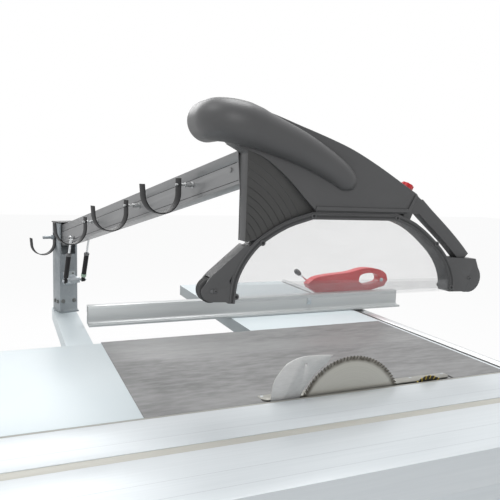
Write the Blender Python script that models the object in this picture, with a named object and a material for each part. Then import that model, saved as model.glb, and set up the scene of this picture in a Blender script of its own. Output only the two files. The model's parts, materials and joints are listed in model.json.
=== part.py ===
"""A sliding-table panel saw with an overhead blade guard, as separate pieces at real size.

Metres, +Z up. X runs along the cut, positive towards the operator; Y runs towards the rip fence.
The floor is z = 0 and the blade's axis is at x = 0, its plane at y = 0. Every piece is modelled in
the table frame, whose z = 0 is the table surface, and is then raised by TABLE_HEIGHT.
"""

from math import atan2, cos, hypot, pi, radians, sin

import bmesh
import bpy
from mathutils import Matrix, Vector

for old in list(bpy.data.objects):
    bpy.data.objects.remove(old, do_unlink=True)

# Driving dimensions, in metres, in the table frame.
TABLE_HEIGHT = 0.870
GAP = 0.0003  # between pieces that touch

# Main table and the plates beside it
TABLE_X = (-0.543, 0.521)
TABLE_Y = (-0.007, 0.625)
TABLE_SKIN = 0.020
TABLE_RIB = 0.018
TABLE_DEPTH = 0.050
INSERT_X = (-0.250, 0.332)
INSERT_Y = (0.005, 0.038)
INSERT_THICK = 0.004
REAR_TABLE_LENGTH = 0.387
REAR_TABLE_FAR_Y = 0.612
SIDE_TABLE_X = -0.020
SIDE_TABLE_LENGTH = 0.915
SHEET = 0.003
FOLD = 0.048

# Cabinet
CABINET_Y = -0.262
CABINET_INSET = 0.008
CABINET_WALL = 0.004
PLINTH_HEIGHT = 0.060
PLINTH_INSET = 0.030
PLINTH_PLATE = 0.008
PLINTH_WALL = 0.012
CABINET_NOTCH = 0.095
DOOR_Y = (-0.020, 0.420)
DOOR_Z = (-0.670, -0.220)
DOOR_LAP = 0.012
DOOR_THICK = 0.018
HINGE_R = 0.007
DUST_R = 0.060
DUST_LENGTH = 0.070
DUST_Z = -0.600
PANEL_Y = (0.350, 0.580)
PANEL_Z = (-0.175, -0.075)
PANEL_THICK = 0.060
BUTTON_TRAVEL = 0.004
WHEEL_R = 0.080
WHEEL_RIM = 0.008
WHEEL_STANDOFF = 0.045
WHEEL_Z = -0.300
HEIGHT_WHEEL_Y = -0.060
TILT_WHEEL_Y = 0.200

# Sliding table and its beam
SLIDE_EDGE_Y = -0.009
SLIDE_WIDTH = 0.376
SLIDE_LENGTH = 3.200
SLIDE_LIP = 0.008
SLIDE_DEPTH = 0.080
SLIDE_GROOVE_Y = (-0.194, -0.165)
SLIDE_GROOVE_DEEP = 0.004
BEAM_Y = (-0.365, -0.275)
BEAM_DEPTH = 0.220
BEAM_LENGTH = 2.500
BEAM_WALL = 0.006

# Saw unit
BLADE_R = 0.1575
BLADE_RISE = 0.091
BLADE_THICK = 0.0032
BLADE_TEETH = 48
TOOTH_DEEP = 0.006
ARBOR_R = 0.015
FLANGE_R = 0.035
FLANGE_THICK = 0.007
BEARING_GAP = 0.0003
LIFT_TRAVEL = 0.105
MOTOR_DROP = 0.2035
MOTOR_R = 0.085
MOTOR_LENGTH = 0.235
MOTOR_SHAFT_R = 0.012
PULLEY_R = 0.038
PULLEY_Y = (0.142, 0.164)
BELT_THICK = 0.004
SCORING_X = 0.250
SCORING_R = 0.060
SCORING_RISE = 0.013
SCORING_SHAFT_R = 0.009
KNIFE_THICK = 0.0028
TRUNNION_X = (-0.316, 0.356)
TRUNNION_THICK = 0.016
TRUNNION_R = 0.250
SHOE_HALF = 0.0145
TILT = radians(45)

# Rip rail and fence
RAIL_X = 0.588
RAIL_Z = -0.028
RAIL_R = 0.024
RAIL_Y = (-0.006, 1.600)
RAIL_STRIP = 0.014
FENCE_X = (-0.555, 0.767)
FENCE_Y = 0.845
FENCE_HEIGHT = 0.0685
FENCE_THICK = 0.035
FENCE_LIP = 0.028
FENCE_LIP_HIGH = 0.008
FENCE_WALL = 0.003
FENCE_LIFT = 0.0015
CASTING_THICK = 0.040

# Guard support
POST_X, POST_Y = -0.6085, 1.150
POST_WIDE = 0.071
POST_FRONT = 0.0465  # from the arm pivot to the post's front face
POST_BACK = 0.022
POST_WALL = 0.004
POST_HEIGHT = 0.345
PIVOT_Z = 0.288
TUBE_WIDE = 0.085
TUBE_HIGH = 0.048
TUBE_Y = (0.050, 1.205)
TUBE_TOP = -0.0043
ARM_WIDE = 0.050
ARM_HIGH = 0.077
ARM_TAIL = 0.006
ARM_NOSE = (0.0263, 0.0355)  # past the guard pivot, at its lower and upper edge
ARM_WALL = 0.003
GUARD_DEEP = 0.047
ARM_STANDS_OFF = 0.043  # from the guard's far face to the arm's pivot on it
GUARD_PIVOT = Vector((-0.2942, GUARD_DEEP + ARM_STANDS_OFF, 0.5543))
PIVOT_R = 0.006
TIE_DROP = 0.022
TIE_R = 0.0035
HOOK_ALONG = (0.968, 0.673, 0.372)
HOOK_R = 0.0515
POST_HOOK_R = 0.044
HOOK_WIDE = 0.025
HOOK_THICK = 0.003
HOOK_STANDOFF = 0.045
SPRING_SIDE = 0.035
SPRING_LOW = (0.103, -0.157)
SPRING_HIGH = (0.158, 0.012)
SPRING_BODY_R = 0.009
SPRING_ROD_R = 0.004
SPRING_BODY = (0.014, 0.110)
SPRING_PIN_R = 0.004

# Guard
GUARD_WALL = 0.003
HOOD_RIM = 0.0175
HOOD_BOTTOM = 0.245
SHIELD_THICK = 0.003
SHIELD_INSET = 0.002
REAR_ROLLER = Vector((-0.387, 0, 0.277))
REAR_ROLLER_R = 0.029
FRONT_ROLLER = Vector((0.366, 0, 0.281))
FRONT_ROLLER_R = 0.042
ROLLER_WIDE = 0.030
AXLE_R = 0.005
KNOB_R = 0.017
PIPE_R = 0.049
PIPE_WALL = 0.003
PIPE_BEND_X, PIPE_BEND_Y, PIPE_BEND_R = -0.320, 0.050, 0.054
PIPE_END_Y = 0.105
PIPE_Z = 0.6665
PIPE_BEND_FALL = 0.010

# Worked out from the above
ORIGIN = Vector((0, 0, 0))
RAISE = Matrix.Translation((0, 0, TABLE_HEIGHT))
BLADE_Z = BLADE_RISE - BLADE_R
SCORING_Z = SCORING_RISE - SCORING_R
MOTOR_Z = BLADE_Z - MOTOR_DROP
PIVOT = Vector((POST_X, POST_Y, PIVOT_Z))
REACH = hypot(GUARD_PIVOT.x - PIVOT.x, GUARD_PIVOT.y - PIVOT.y)
ARM_RISE = atan2(GUARD_PIVOT.z - PIVOT.z, REACH)
ARM_LENGTH = hypot(REACH, GUARD_PIVOT.z - PIVOT.z)
AZIMUTH = atan2(GUARD_PIVOT.y - PIVOT.y, GUARD_PIVOT.x - PIVOT.x)
# Local +X points along the arm, level; local -Y is the arm's left side.
POST_FRAME = Matrix.Translation(PIVOT) @ Matrix.Rotation(AZIMUTH, 4, "Z")
ARM_FRAME = POST_FRAME @ Matrix.Rotation(-ARM_RISE, 4, "Y")
GUARD_FRAME = Matrix.Translation(GUARD_PIVOT) @ Matrix.Rotation(AZIMUTH, 4, "Z")

FINISHES = {  # colour, roughness, metallic
    "cabinet_paint": ((0.80, 0.83, 0.84), 0.45, 0.0),
    "cast_iron": ((0.36, 0.36, 0.35), 0.45, 0.9),
    "anodised": ((0.70, 0.71, 0.71), 0.38, 0.9),
    "arm_aluminium": ((0.33, 0.33, 0.33), 0.42, 0.8),
    "zinc": ((0.55, 0.60, 0.62), 0.35, 0.8),
    "chrome": ((0.80, 0.80, 0.82), 0.08, 1.0),
    "steel": ((0.45, 0.45, 0.44), 0.35, 1.0),
    "dark_plastic": ((0.055, 0.056, 0.058), 0.45, 0.0),
    "black_steel": ((0.03, 0.03, 0.03), 0.45, 0.6),
    "red_casting": ((0.55, 0.02, 0.03), 0.40, 0.0),
    "red_plastic": ((0.50, 0.01, 0.01), 0.35, 0.0),
    "green_plastic": ((0.02, 0.35, 0.08), 0.35, 0.0),
    "clear_sheet": ((0.88, 0.90, 0.90), 0.05, 0.0),
    "rubber": ((0.04, 0.04, 0.04), 0.70, 0.0),
    "motor_paint": ((0.18, 0.22, 0.26), 0.50, 0.0),
}


# --- shapes: each returns a bmesh in the table frame -----------------------------------------------

def extruded(points, step):
    """A closed outline of 3-D points, extruded by the vector step."""
    bm = bmesh.new()
    ring = [bm.verts.new(p) for p in points]
    face = bm.faces.new(ring)
    made = bmesh.ops.extrude_face_region(bm, geom=[face])
    moved = [item for item in made["geom"] if isinstance(item, bmesh.types.BMVert)]
    bmesh.ops.translate(bm, vec=step, verts=moved)
    return bm


def box(x, y, z):
    """A block between pairs of coordinates."""
    corners = [(x[0], y[0], z[0]), (x[1], y[0], z[0]), (x[1], y[1], z[0]), (x[0], y[1], z[0])]
    return extruded(corners, Vector((0, 0, z[1] - z[0])))


def along_x(outline, x):
    """A (y, z) outline, extruded between two x."""
    return extruded([(x[0], y, z) for y, z in outline], Vector((x[1] - x[0], 0, 0)))


def along_y(outline, y):
    """An (x, z) outline, extruded between two y."""
    return extruded([(x, y[0], z) for x, z in outline], Vector((0, y[1] - y[0], 0)))


def rod(start, end, radius, sides=20):
    """A round bar between two points."""
    start, end = Vector(start), Vector(end)
    axis = end - start
    turn = axis.to_track_quat("Z", "Y").to_matrix()
    ring = [start + turn @ Vector((radius * cos(a), radius * sin(a), 0)) for a in turns(sides)]
    return extruded(ring, axis)


def ring(start, end, outer, inner, sides=20):
    """A round tube between two points."""
    return turned([(inner, 0), (outer, 0), (outer, 1), (inner, 1)], start, end, sides)


def turned(profile, start, end, sides=24):
    """A (radius, share of the way from start to end) outline turned round that axis."""
    start, end = Vector(start), Vector(end)
    axis = end - start
    turn = axis.to_track_quat("Z", "Y").to_matrix()
    bm = bmesh.new()
    rings = []
    for angle in turns(sides):
        out = turn @ Vector((cos(angle), sin(angle), 0))
        rings.append([bm.verts.new(start + axis * share + out * radius) for radius, share in profile])
    count = len(profile)
    for k, here in enumerate(rings):
        there = rings[(k + 1) % sides]
        for i in range(count):
            j = (i + 1) % count
            bm.faces.new((here[i], here[j], there[j], there[i]))
    return bm


def swept(path, radii, sides=20):
    """A round body of changing radius along a smooth path, with flat ends."""
    bm = bmesh.new()
    rings = []
    side = Vector((0, 0, 1))
    for k, point in enumerate(path):
        before, after = path[max(k - 1, 0)], path[min(k + 1, len(path) - 1)]
        ahead = (after - before).normalized()
        across = ahead.cross(side).normalized()
        upward = across.cross(ahead)
        rings.append([
            bm.verts.new(point + (across * cos(a) + upward * sin(a)) * radii[k]) for a in turns(sides)
        ])
    for here, there in zip(rings, rings[1:]):
        for i in range(sides):
            j = (i + 1) % sides
            bm.faces.new((here[i], here[j], there[j], there[i]))
    bm.faces.new(rings[0])
    bm.faces.new(rings[-1])
    return bm


# --- outlines -------------------------------------------------------------------------------------

def turns(count):
    return [2 * pi * k / count for k in range(count)]


def arc(centre, radius, start, end, count):
    """Points on a circle, angles in degrees."""
    steps = [radians(start + (end - start) * k / count) for k in range(count + 1)]
    return [(centre[0] + radius * cos(a), centre[1] + radius * sin(a)) for a in steps]


def smooth(points, steps):
    """A smooth curve through the points."""
    points = [Vector(p) for p in points]
    ends = [2 * points[0] - points[1], *points, 2 * points[-1] - points[-2]]
    made = []
    for a, b, c, d in zip(ends, ends[1:], ends[2:], ends[3:]):
        for k in range(steps):
            t = k / steps
            made.append(0.5 * (2 * b + (c - a) * t + (2 * a - 5 * b + 4 * c - d) * t**2
                               + (3 * b - a - 3 * c + d) * t**3))
    return made + [points[-1]]


def offset(points, distance):
    """An open (x, z) line moved to its left by a distance."""
    points = [Vector(p) for p in points]
    moved = []
    for k, point in enumerate(points):
        into = (point - points[k - 1]).normalized() if k else None
        out = (points[k + 1] - point).normalized() if k + 1 < len(points) else into
        into = into or out
        ahead = (into + out).normalized()
        stretch = 1 / max(ahead.dot(out), 0.5)
        moved.append(point + Vector((-ahead.y, ahead.x)) * distance * stretch)
    return moved


def strip(points, thick):
    """An open line given a thickness, as a closed outline."""
    return offset(points, thick / 2) + offset(points, -thick / 2)[::-1]


# --- pieces ---------------------------------------------------------------------------------------

def material(name, finish):
    colour, roughness, metallic = FINISHES[finish]
    made = bpy.data.materials.new(name)
    made.use_nodes = True
    shader = made.node_tree.nodes["Principled BSDF"]
    shader.inputs["Base Color"].default_value = (*colour, 1)
    shader.inputs["Roughness"].default_value = roughness
    shader.inputs["Metallic"].default_value = metallic
    made.diffuse_color = (*colour, 1)
    return made


def as_object(name, bm, frame, pivot):
    """The bmesh as an object whose origin is at pivot, both given in the table frame."""
    centre = RAISE @ pivot
    bmesh.ops.transform(bm, matrix=Matrix.Translation(-centre) @ RAISE @ frame, verts=bm.verts)
    bmesh.ops.recalc_face_normals(bm, faces=bm.faces)
    mesh = bpy.data.meshes.new(name)
    bm.to_mesh(mesh)
    bm.free()
    made = bpy.data.objects.new(name, mesh)
    made.location = centre
    bpy.context.scene.collection.objects.link(made)
    return made


def piece(name, finish, solids, cuts=(), frame=Matrix(), pivot=ORIGIN):
    """One named sub-part: its solids joined, then its cuts taken out."""
    made = as_object(name, solids[0], frame, pivot)
    made.data.materials.append(material(name, finish))
    for operation, shapes in (("UNION", solids[1:]), ("DIFFERENCE", cuts)):
        for k, shape in enumerate(shapes):
            join_later(made, f"{operation.lower()}.{k}", shape, frame, operation, pivot)
    made.data.shade_smooth()
    made.data.set_sharp_from_angle(angle=radians(35))
    return made


def join_later(target, label, bm, frame=Matrix(), operation="UNION", pivot=ORIGIN):
    """A further Boolean on a piece, after its cuts."""
    tool = as_object(f"{target.name}.{label}", bm, frame, pivot)
    tool.hide_render = True
    tool.display_type = "WIRE"
    step = target.modifiers.new(tool.name, "BOOLEAN")
    step.operation = operation
    step.object = tool
    step.solver = "EXACT"


def widened(span, by):
    return (span[0] - by, span[1] + by)


# --- cabinet --------------------------------------------------------------------------------------

FLOOR = -TABLE_HEIGHT
CABINET_X = (TABLE_X[0] + CABINET_INSET, TABLE_X[1] - CABINET_INSET)
CABINET_FAR_Y = TABLE_Y[1] - CABINET_INSET
CABINET_TOP = -TABLE_DEPTH - GAP
CABINET_BOTTOM = FLOOR + PLINTH_HEIGHT + GAP


def plinth():
    x = widened(CABINET_X, -PLINTH_INSET)
    y = widened((CABINET_Y, CABINET_FAR_Y), -PLINTH_INSET)
    tray = box(x, y, (FLOOR, FLOOR + PLINTH_HEIGHT))
    hollow = box(widened(x, -PLINTH_WALL), widened(y, -PLINTH_WALL), (FLOOR + PLINTH_PLATE, 0))
    piece("plinth", "black_steel", [tray], [hollow])


def cabinet():
    y = (CABINET_Y, CABINET_FAR_Y)
    shell = box(CABINET_X, y, (CABINET_BOTTOM, CABINET_TOP))
    inside = box(widened(CABINET_X, -CABINET_WALL), widened(y, -CABINET_WALL),
                 (CABINET_BOTTOM + CABINET_WALL, 0))
    notch = box(widened(CABINET_X, 0.01), (CABINET_Y - 0.01, TABLE_Y[0] - 0.005), (-CABINET_NOTCH, 0))
    doorway = box((CABINET_X[0] - 0.01, CABINET_X[0] + 0.05), DOOR_Y, DOOR_Z)
    outlet = rod((0, CABINET_FAR_Y - 0.05, DUST_Z), (0, CABINET_FAR_Y + 0.01, DUST_Z), DUST_R - SHEET)
    shafts = [
        rod((CABINET_X[1] - 0.05, y0, WHEEL_Z), (CABINET_X[1] + 0.01, y0, WHEEL_Z), 0.013)
        for y0 in (HEIGHT_WHEEL_Y, TILT_WHEEL_Y)
    ]
    piece("cabinet", "cabinet_paint", [shell], [inside, notch, doorway, outlet, *shafts])


def service_door():
    x = (CABINET_X[0] - GAP - DOOR_THICK, CABINET_X[0] - GAP)
    panel = box(x, widened(DOOR_Y, DOOR_LAP), widened(DOOR_Z, DOOR_LAP))
    pan = box((x[0] + SHEET, x[1] + 0.01), widened(DOOR_Y, DOOR_LAP - SHEET),
              widened(DOOR_Z, DOOR_LAP - SHEET))
    middle = (DOOR_Z[0] + DOOR_Z[1]) / 2
    handle = box((x[0] - 0.025, x[0] + 0.001), (DOOR_Y[0] + 0.02, DOOR_Y[0] + 0.035),
                 (middle - 0.06, middle + 0.06))
    grip = box((x[0] - 0.017, x[0]), (DOOR_Y[0] + 0.01, DOOR_Y[0] + 0.05), (middle - 0.045, middle + 0.045))
    piece("service_door", "cabinet_paint", [panel, handle], [pan, grip], pivot=door_hinge())


def door_hinge():
    return Vector((CABINET_X[0] - GAP - DOOR_THICK, DOOR_Y[1] + DOOR_LAP, (DOOR_Z[0] + DOOR_Z[1]) / 2))


def dust_outlet():
    y = CABINET_FAR_Y + GAP
    spigot = ring((0, y, DUST_Z), (0, y + DUST_LENGTH, DUST_Z), DUST_R, DUST_R - SHEET, 28)
    flange = ring((0, y, DUST_Z), (0, y + SHEET, DUST_Z), DUST_R + 0.02, DUST_R - SHEET / 2, 28)
    piece("dust_outlet", "zinc", [flange, spigot])


def control_panel():
    x = (CABINET_X[1] + GAP, CABINET_X[1] + GAP + PANEL_THICK)
    case = box(x, PANEL_Y, PANEL_Z)
    wells = [rod((x[1] - 0.02, y, panel_middle()), (x[1] + 0.01, y, panel_middle()), r + 0.0006)
             for y, r in (start_at(), stop_at())]
    piece("control_panel", "dark_plastic", [case], wells)


def panel_middle():
    return (PANEL_Z[0] + PANEL_Z[1]) / 2


def start_at():
    return PANEL_Y[0] + 0.06, 0.011


def stop_at():
    return PANEL_Y[1] - 0.06, 0.013


def buttons():
    face = CABINET_X[1] + GAP + PANEL_THICK
    bed = face - 0.02 + BUTTON_TRAVEL + GAP
    z = panel_middle()
    y, r = start_at()
    stem = rod((bed, y, z), (face + 0.006, y, z), r)
    piece("start_button", "green_plastic", [stem], pivot=Vector((face, y, z)))
    y, r = stop_at()
    head = turned([(0.0, 0.0), (0.020, 0.0), (0.020, 0.5), (0.013, 1.0), (0.0, 1.0)],
                  (face + BUTTON_TRAVEL + GAP, y, z), (face + 0.020, y, z))
    bmesh.ops.remove_doubles(head, verts=head.verts, dist=1e-6)
    stem = rod((bed, y, z), (face + 0.008, y, z), r)
    piece("stop_button", "red_plastic", [head, stem], pivot=Vector((face, y, z)))


def handwheel(name, y):
    wall = CABINET_X[1]
    hub = wall + WHEEL_STANDOFF
    shaft = rod((wall - 0.020, y, WHEEL_Z), (hub + 0.012, y, WHEEL_Z), 0.012)
    boss = rod((wall + GAP + 0.001, y, WHEEL_Z), (wall + 0.008, y, WHEEL_Z), 0.022)
    centre = rod((hub - 0.012, y, WHEEL_Z), (hub + 0.012, y, WHEEL_Z), 0.020)
    loop = [(WHEEL_R - WHEEL_RIM + WHEEL_RIM * cos(a), 0.5 + 0.5 * sin(a)) for a in turns(8)]
    rim = turned(loop, (hub - WHEEL_RIM, y, WHEEL_Z), (hub + WHEEL_RIM, y, WHEEL_Z), 28)
    spokes = [rod((hub, y, WHEEL_Z), (hub, y + (WHEEL_R - WHEEL_RIM) * cos(a),
                                      WHEEL_Z + (WHEEL_R - WHEEL_RIM) * sin(a)), 0.006, 8)
              for a in (pi / 2, pi / 2 + 2 * pi / 3, pi / 2 + 4 * pi / 3)]
    reach = WHEEL_R - WHEEL_RIM
    crank = rod((hub, y, WHEEL_Z + reach), (hub + 0.060, y, WHEEL_Z + reach), 0.006, 12)
    knob = rod((hub + 0.015, y, WHEEL_Z + reach), (hub + 0.060, y, WHEEL_Z + reach), 0.011, 16)
    piece(name, "dark_plastic", [rim, centre, shaft, boss, *spokes, crank, knob],
          pivot=Vector((hub, y, WHEEL_Z)))


# --- tables ---------------------------------------------------------------------------------------

def main_table():
    slab = box(TABLE_X, TABLE_Y, (-TABLE_DEPTH, 0))
    under = box(widened(TABLE_X, -TABLE_RIB), (TABLE_Y[0] - 0.01, TABLE_Y[1] - TABLE_RIB),
                (-TABLE_DEPTH - 0.01, -TABLE_SKIN))
    slot = box(widened(INSERT_X, 0.0003), (TABLE_Y[0] - 0.01, INSERT_Y[1] + 0.0003),
               (-TABLE_SKIN - 0.01, 0.01))
    ledges = [box(x, (INSERT_Y[0], INSERT_Y[1] + 0.003), (-TABLE_SKIN, -INSERT_THICK - GAP))
              for x in ((INSERT_X[0] - 0.003, INSERT_X[0] + 0.014),
                        (INSERT_X[1] - 0.014, INSERT_X[1] + 0.003))]
    table = piece("main_table", "cast_iron", [slab], [under, slot])
    for k, ledge in enumerate(ledges):
        join_later(table, f"ledge.{k}", ledge)


def table_insert():
    x, y = INSERT_X, INSERT_Y
    chamfer = 0.012
    outline = [(x[0] + chamfer, y[0]), (x[1] - chamfer, y[0]), (x[1], y[0] + chamfer), (x[1], y[1]),
               (x[0], y[1]), (x[0], y[0] + chamfer)]
    plate = extruded([(a, b, -INSERT_THICK) for a, b in outline], Vector((0, 0, INSERT_THICK)))
    piece("table_insert", "steel", [plate])


def rear_extension_table():
    x = (TABLE_X[0] - GAP - REAR_TABLE_LENGTH, TABLE_X[0] - GAP)
    y = (TABLE_Y[0], REAR_TABLE_FAR_Y)
    plate = box(x, y, (-FOLD, 0))
    under = box((x[0] + SHEET, x[1] + 0.01), widened(y, -SHEET), (-FOLD - 0.01, -SHEET))
    tube = tube_x()
    notch = box(widened(tube, 0.001), (y[1] - 0.02, y[1] + 0.01), (-FOLD - 0.01, TUBE_TOP + GAP))
    piece("rear_extension_table", "cabinet_paint", [plate], [under, notch])


def right_extension_table():
    x = (SIDE_TABLE_X, TABLE_X[1])
    y = (TABLE_Y[1] + GAP, TABLE_Y[1] + GAP + SIDE_TABLE_LENGTH)
    plate = box(x, y, (-FOLD, 0))
    under = box(widened(x, -SHEET), widened(y, -SHEET), (-FOLD - 0.01, -SHEET))
    piece("right_extension_table", "cabinet_paint", [plate], [under])


def extension_brace():
    x = (0.230, 0.270)
    wall = CABINET_FAR_Y + GAP
    top = -FOLD - GAP
    outline = [(wall, top), (wall + 0.55, top), (wall + 0.55, top - 0.03), (wall + 0.02, top - 0.40),
               (wall, top - 0.40)]
    window = [(wall + 0.03, top - 0.03), (wall + 0.46, top - 0.03), (wall + 0.03, top - 0.33)]
    relief = box(widened(x, 0.01), (wall - 0.01, TABLE_Y[1] + GAP), (-TABLE_DEPTH - GAP, 0))
    piece("extension_brace", "cabinet_paint", [along_x(outline, x)],
          [along_x(window, widened(x, 0.01)), relief])


# --- sliding table --------------------------------------------------------------------------------

def sliding_table():
    edge, far = SLIDE_EDGE_Y, SLIDE_EDGE_Y - SLIDE_WIDTH
    lip, deep = SLIDE_LIP, SLIDE_DEPTH
    # The near edge and the slope under it leave room for the blade when it is tilted.
    outline = [(edge, 0), (edge, -0.002), (edge - (lip - 0.002), -lip), (edge - 0.056, -lip),
               (edge - 0.056 - (deep - lip), -deep), (far, -deep), (far, 0)]
    groove = [(SLIDE_GROOVE_Y[0], 0.01), (SLIDE_GROOVE_Y[1], 0.01), (SLIDE_GROOVE_Y[1], -SLIDE_GROOVE_DEEP),
              (SLIDE_GROOVE_Y[0], -SLIDE_GROOVE_DEEP)]
    half = SLIDE_LENGTH / 2
    cell_top = -SLIDE_GROOVE_DEEP - 0.006
    cells = [[(a, cell_top), (a - 0.055, cell_top), (a - 0.055, -deep + 0.006), (a, -deep + 0.006)]
             for a in (-0.150, -0.211, -0.272)]
    cells.append([(-0.333, cell_top), (far + 0.006, cell_top), (far + 0.006, -deep + 0.006),
                  (-0.333, -deep + 0.006)])
    cuts = [along_x(shape, (-half - 0.01, half + 0.01)) for shape in [groove, *cells]]
    piece("sliding_table", "anodised", [along_x(outline, (-half, half))], cuts)


def slide_beam():
    top = -SLIDE_DEPTH - GAP
    half = BEAM_LENGTH / 2
    outer = box((-half, half), BEAM_Y, (top - BEAM_DEPTH, top))
    inner = box((-half - 0.01, half + 0.01), widened(BEAM_Y, -BEAM_WALL),
                (top - BEAM_DEPTH + BEAM_WALL, top - BEAM_WALL))
    piece("slide_beam", "anodised", [outer], [inner])


def beam_bracket():
    y = (BEAM_Y[1] + GAP, CABINET_Y - GAP)
    top = -SLIDE_DEPTH - 0.030
    plate = box((-0.46, 0.46), y, (top - 0.150, top))
    piece("beam_bracket", "cabinet_paint", [plate])


# --- saw unit -------------------------------------------------------------------------------------

def polar(radius, degrees):
    """A (y, z) point about the tilt axis, which is the line where the blade meets the table."""
    return (radius * cos(radians(degrees)), radius * sin(radians(degrees)))


def trunnion(name, x):
    inner, outer = TRUNNION_R - 0.060, TRUNNION_R + 0.055
    top = -TABLE_SKIN - GAP
    outline = [(0.060, top), (0.290, top), (0.290, -0.110)]
    outline += arc((0, 0), outer, -28, -140, 14)
    outline += arc((0, 0), inner, -140, -75, 8)
    span = (x, x + TRUNNION_THICK)
    half = SHOE_HALF + 0.0008
    slot = arc((0, 0), TRUNNION_R - half, -134, -58, 14) + arc((0, 0), TRUNNION_R + half, -58, -134, 14)
    piece(name, "cast_iron", [along_x(outline, span)], [along_x(slot, widened(span, 0.01))])


def tilt_frame():
    front = (TRUNNION_X[1] - GAP - 0.015, TRUNNION_X[1] - GAP)
    rear_face = TRUNNION_X[0] + TRUNNION_THICK + GAP
    rear = (rear_face, rear_face + 0.015)
    cheek = [(0.020, -0.040), (0.215, -0.040), (0.215, -0.120), polar(TRUNNION_R + 0.03, -62),
             polar(TRUNNION_R + 0.04, -86), (0.020, -0.160)]
    shoe = (arc((0, 0), TRUNNION_R - SHOE_HALF, -86, -62, 5)
            + arc((0, 0), TRUNNION_R + SHOE_HALF, -62, -86, 5))
    beam = box((rear[0] + 0.002, front[1] - 0.002), (0.175, 0.213), (-0.100, -0.060))
    slideway = box((rear[1] - 0.002, slideway_x()), (0.030, 0.130), (-0.290, -0.045))
    track = box((slideway_x() - 0.006, slideway_x() + 0.01), (0.070, 0.090), (-0.36, 0))
    bearing = box((SCORING_X - 0.035, SCORING_X + 0.035), (0.014, 0.090), (-0.085, -0.026))
    carrier = box((SCORING_X + 0.030, front[0] + 0.002), (0.030, 0.080), (-0.085, -0.045))
    hanger = box((SCORING_X - 0.020, SCORING_X + 0.020), (0.172, 0.213), (-0.1015, -0.090))
    bore = rod((SCORING_X, 0, SCORING_Z), (SCORING_X, 0.20, SCORING_Z), SCORING_SHAFT_R + BEARING_GAP)
    solids = [
        along_x(cheek, rear), along_x(cheek, front),
        along_x(shoe, (TRUNNION_X[0] + 0.002, rear[1])),
        along_x(shoe, (front[0], TRUNNION_X[1] + TRUNNION_THICK - 0.002)),
        beam, slideway, bearing, carrier, hanger,
    ]
    piece("tilt_frame", "cast_iron", solids, [track, bore])


def slideway_x():
    return -0.225


def scoring_unit():
    x, z = SCORING_X, SCORING_Z
    motor_y = 0.100
    motor = rod((x, motor_y, z - 0.010), (x, 0.165, z - 0.010), 0.034, 24)
    nose = rod((x, 0.090 + GAP, z), (x, motor_y + 0.01, z), 0.020, 20)
    foot = box((x - 0.018, x + 0.018), (0.140, 0.213), (-0.112, -0.1018))
    link = box((x - 0.018, x + 0.018), (0.120, 0.160), (-0.112, -0.070))
    well = rod((x, 0.05, z), (x, 0.128, z), SCORING_SHAFT_R + BEARING_GAP)
    piece("scoring_motor", "motor_paint", [motor, nose, link, foot], [well])
    flange = 0.0185
    shaft = rod((x, -0.009, z), (x, 0.124, z), SCORING_SHAFT_R)
    collar = rod((x, BLADE_THICK / 2 + GAP, z), (x, 0.0125, z), flange)
    piece("scoring_shaft", "steel", [shaft, collar], pivot=Vector((x, 0, z)))
    saw_blade("scoring_blade", Vector((x, 0, z)), SCORING_R, 24, 0.004, SCORING_SHAFT_R)


def saw_blade(name, centre, radius, teeth, deep, bore):
    """A toothed disc: each tooth has a steep face and a long back."""
    outline = []
    for k in range(teeth):
        start = 2 * pi * k / teeth
        pitch = 2 * pi / teeth
        for turn, r in ((0.0, radius - deep), (0.10, radius), (0.75, radius - deep * 0.45)):
            angle = start + turn * pitch
            outline.append((centre.x + r * cos(angle), centre.z + r * sin(angle)))
    half = BLADE_THICK / 2
    disc = along_y(outline, (-half, half))
    hole = rod((centre.x, -0.01, centre.z), (centre.x, 0.01, centre.z), bore + BEARING_GAP, 20)
    piece(name, "steel", [disc], [hole], pivot=centre)


def arbor():
    half = BLADE_THICK / 2
    axis = lambda y: (0, y, BLADE_Z)
    spindle = rod(axis(-0.026), axis(PULLEY_Y[1] + 0.002), ARBOR_R, 24)
    flange = rod(axis(half + GAP), axis(0.017), FLANGE_R, 28)
    pulley = turned(pulley_profile(ARBOR_R - 0.002), axis(PULLEY_Y[0]), axis(PULLEY_Y[1]), 28)
    piece("arbor_shaft", "steel", [spindle, flange, pulley], pivot=Vector(axis(0)))
    outer = rod(axis(-half - GAP - FLANGE_THICK), axis(-half - GAP), FLANGE_R, 28)
    nut = rod(axis(-0.024), axis(-half - GAP - FLANGE_THICK + 0.001), 0.0185, 6)
    bore = rod(axis(-0.03), axis(0.01), ARBOR_R + BEARING_GAP, 24)
    piece("arbor_nut", "black_steel", [outer, nut], [bore], pivot=Vector(axis(0)))


def pulley_profile(inner):
    return [(inner, 0), (PULLEY_R + 0.005, 0), (PULLEY_R + 0.005, 0.05), (PULLEY_R, 0.055),
            (PULLEY_R, 0.945), (PULLEY_R + 0.005, 0.95), (PULLEY_R + 0.005, 1), (inner, 1)]


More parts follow.
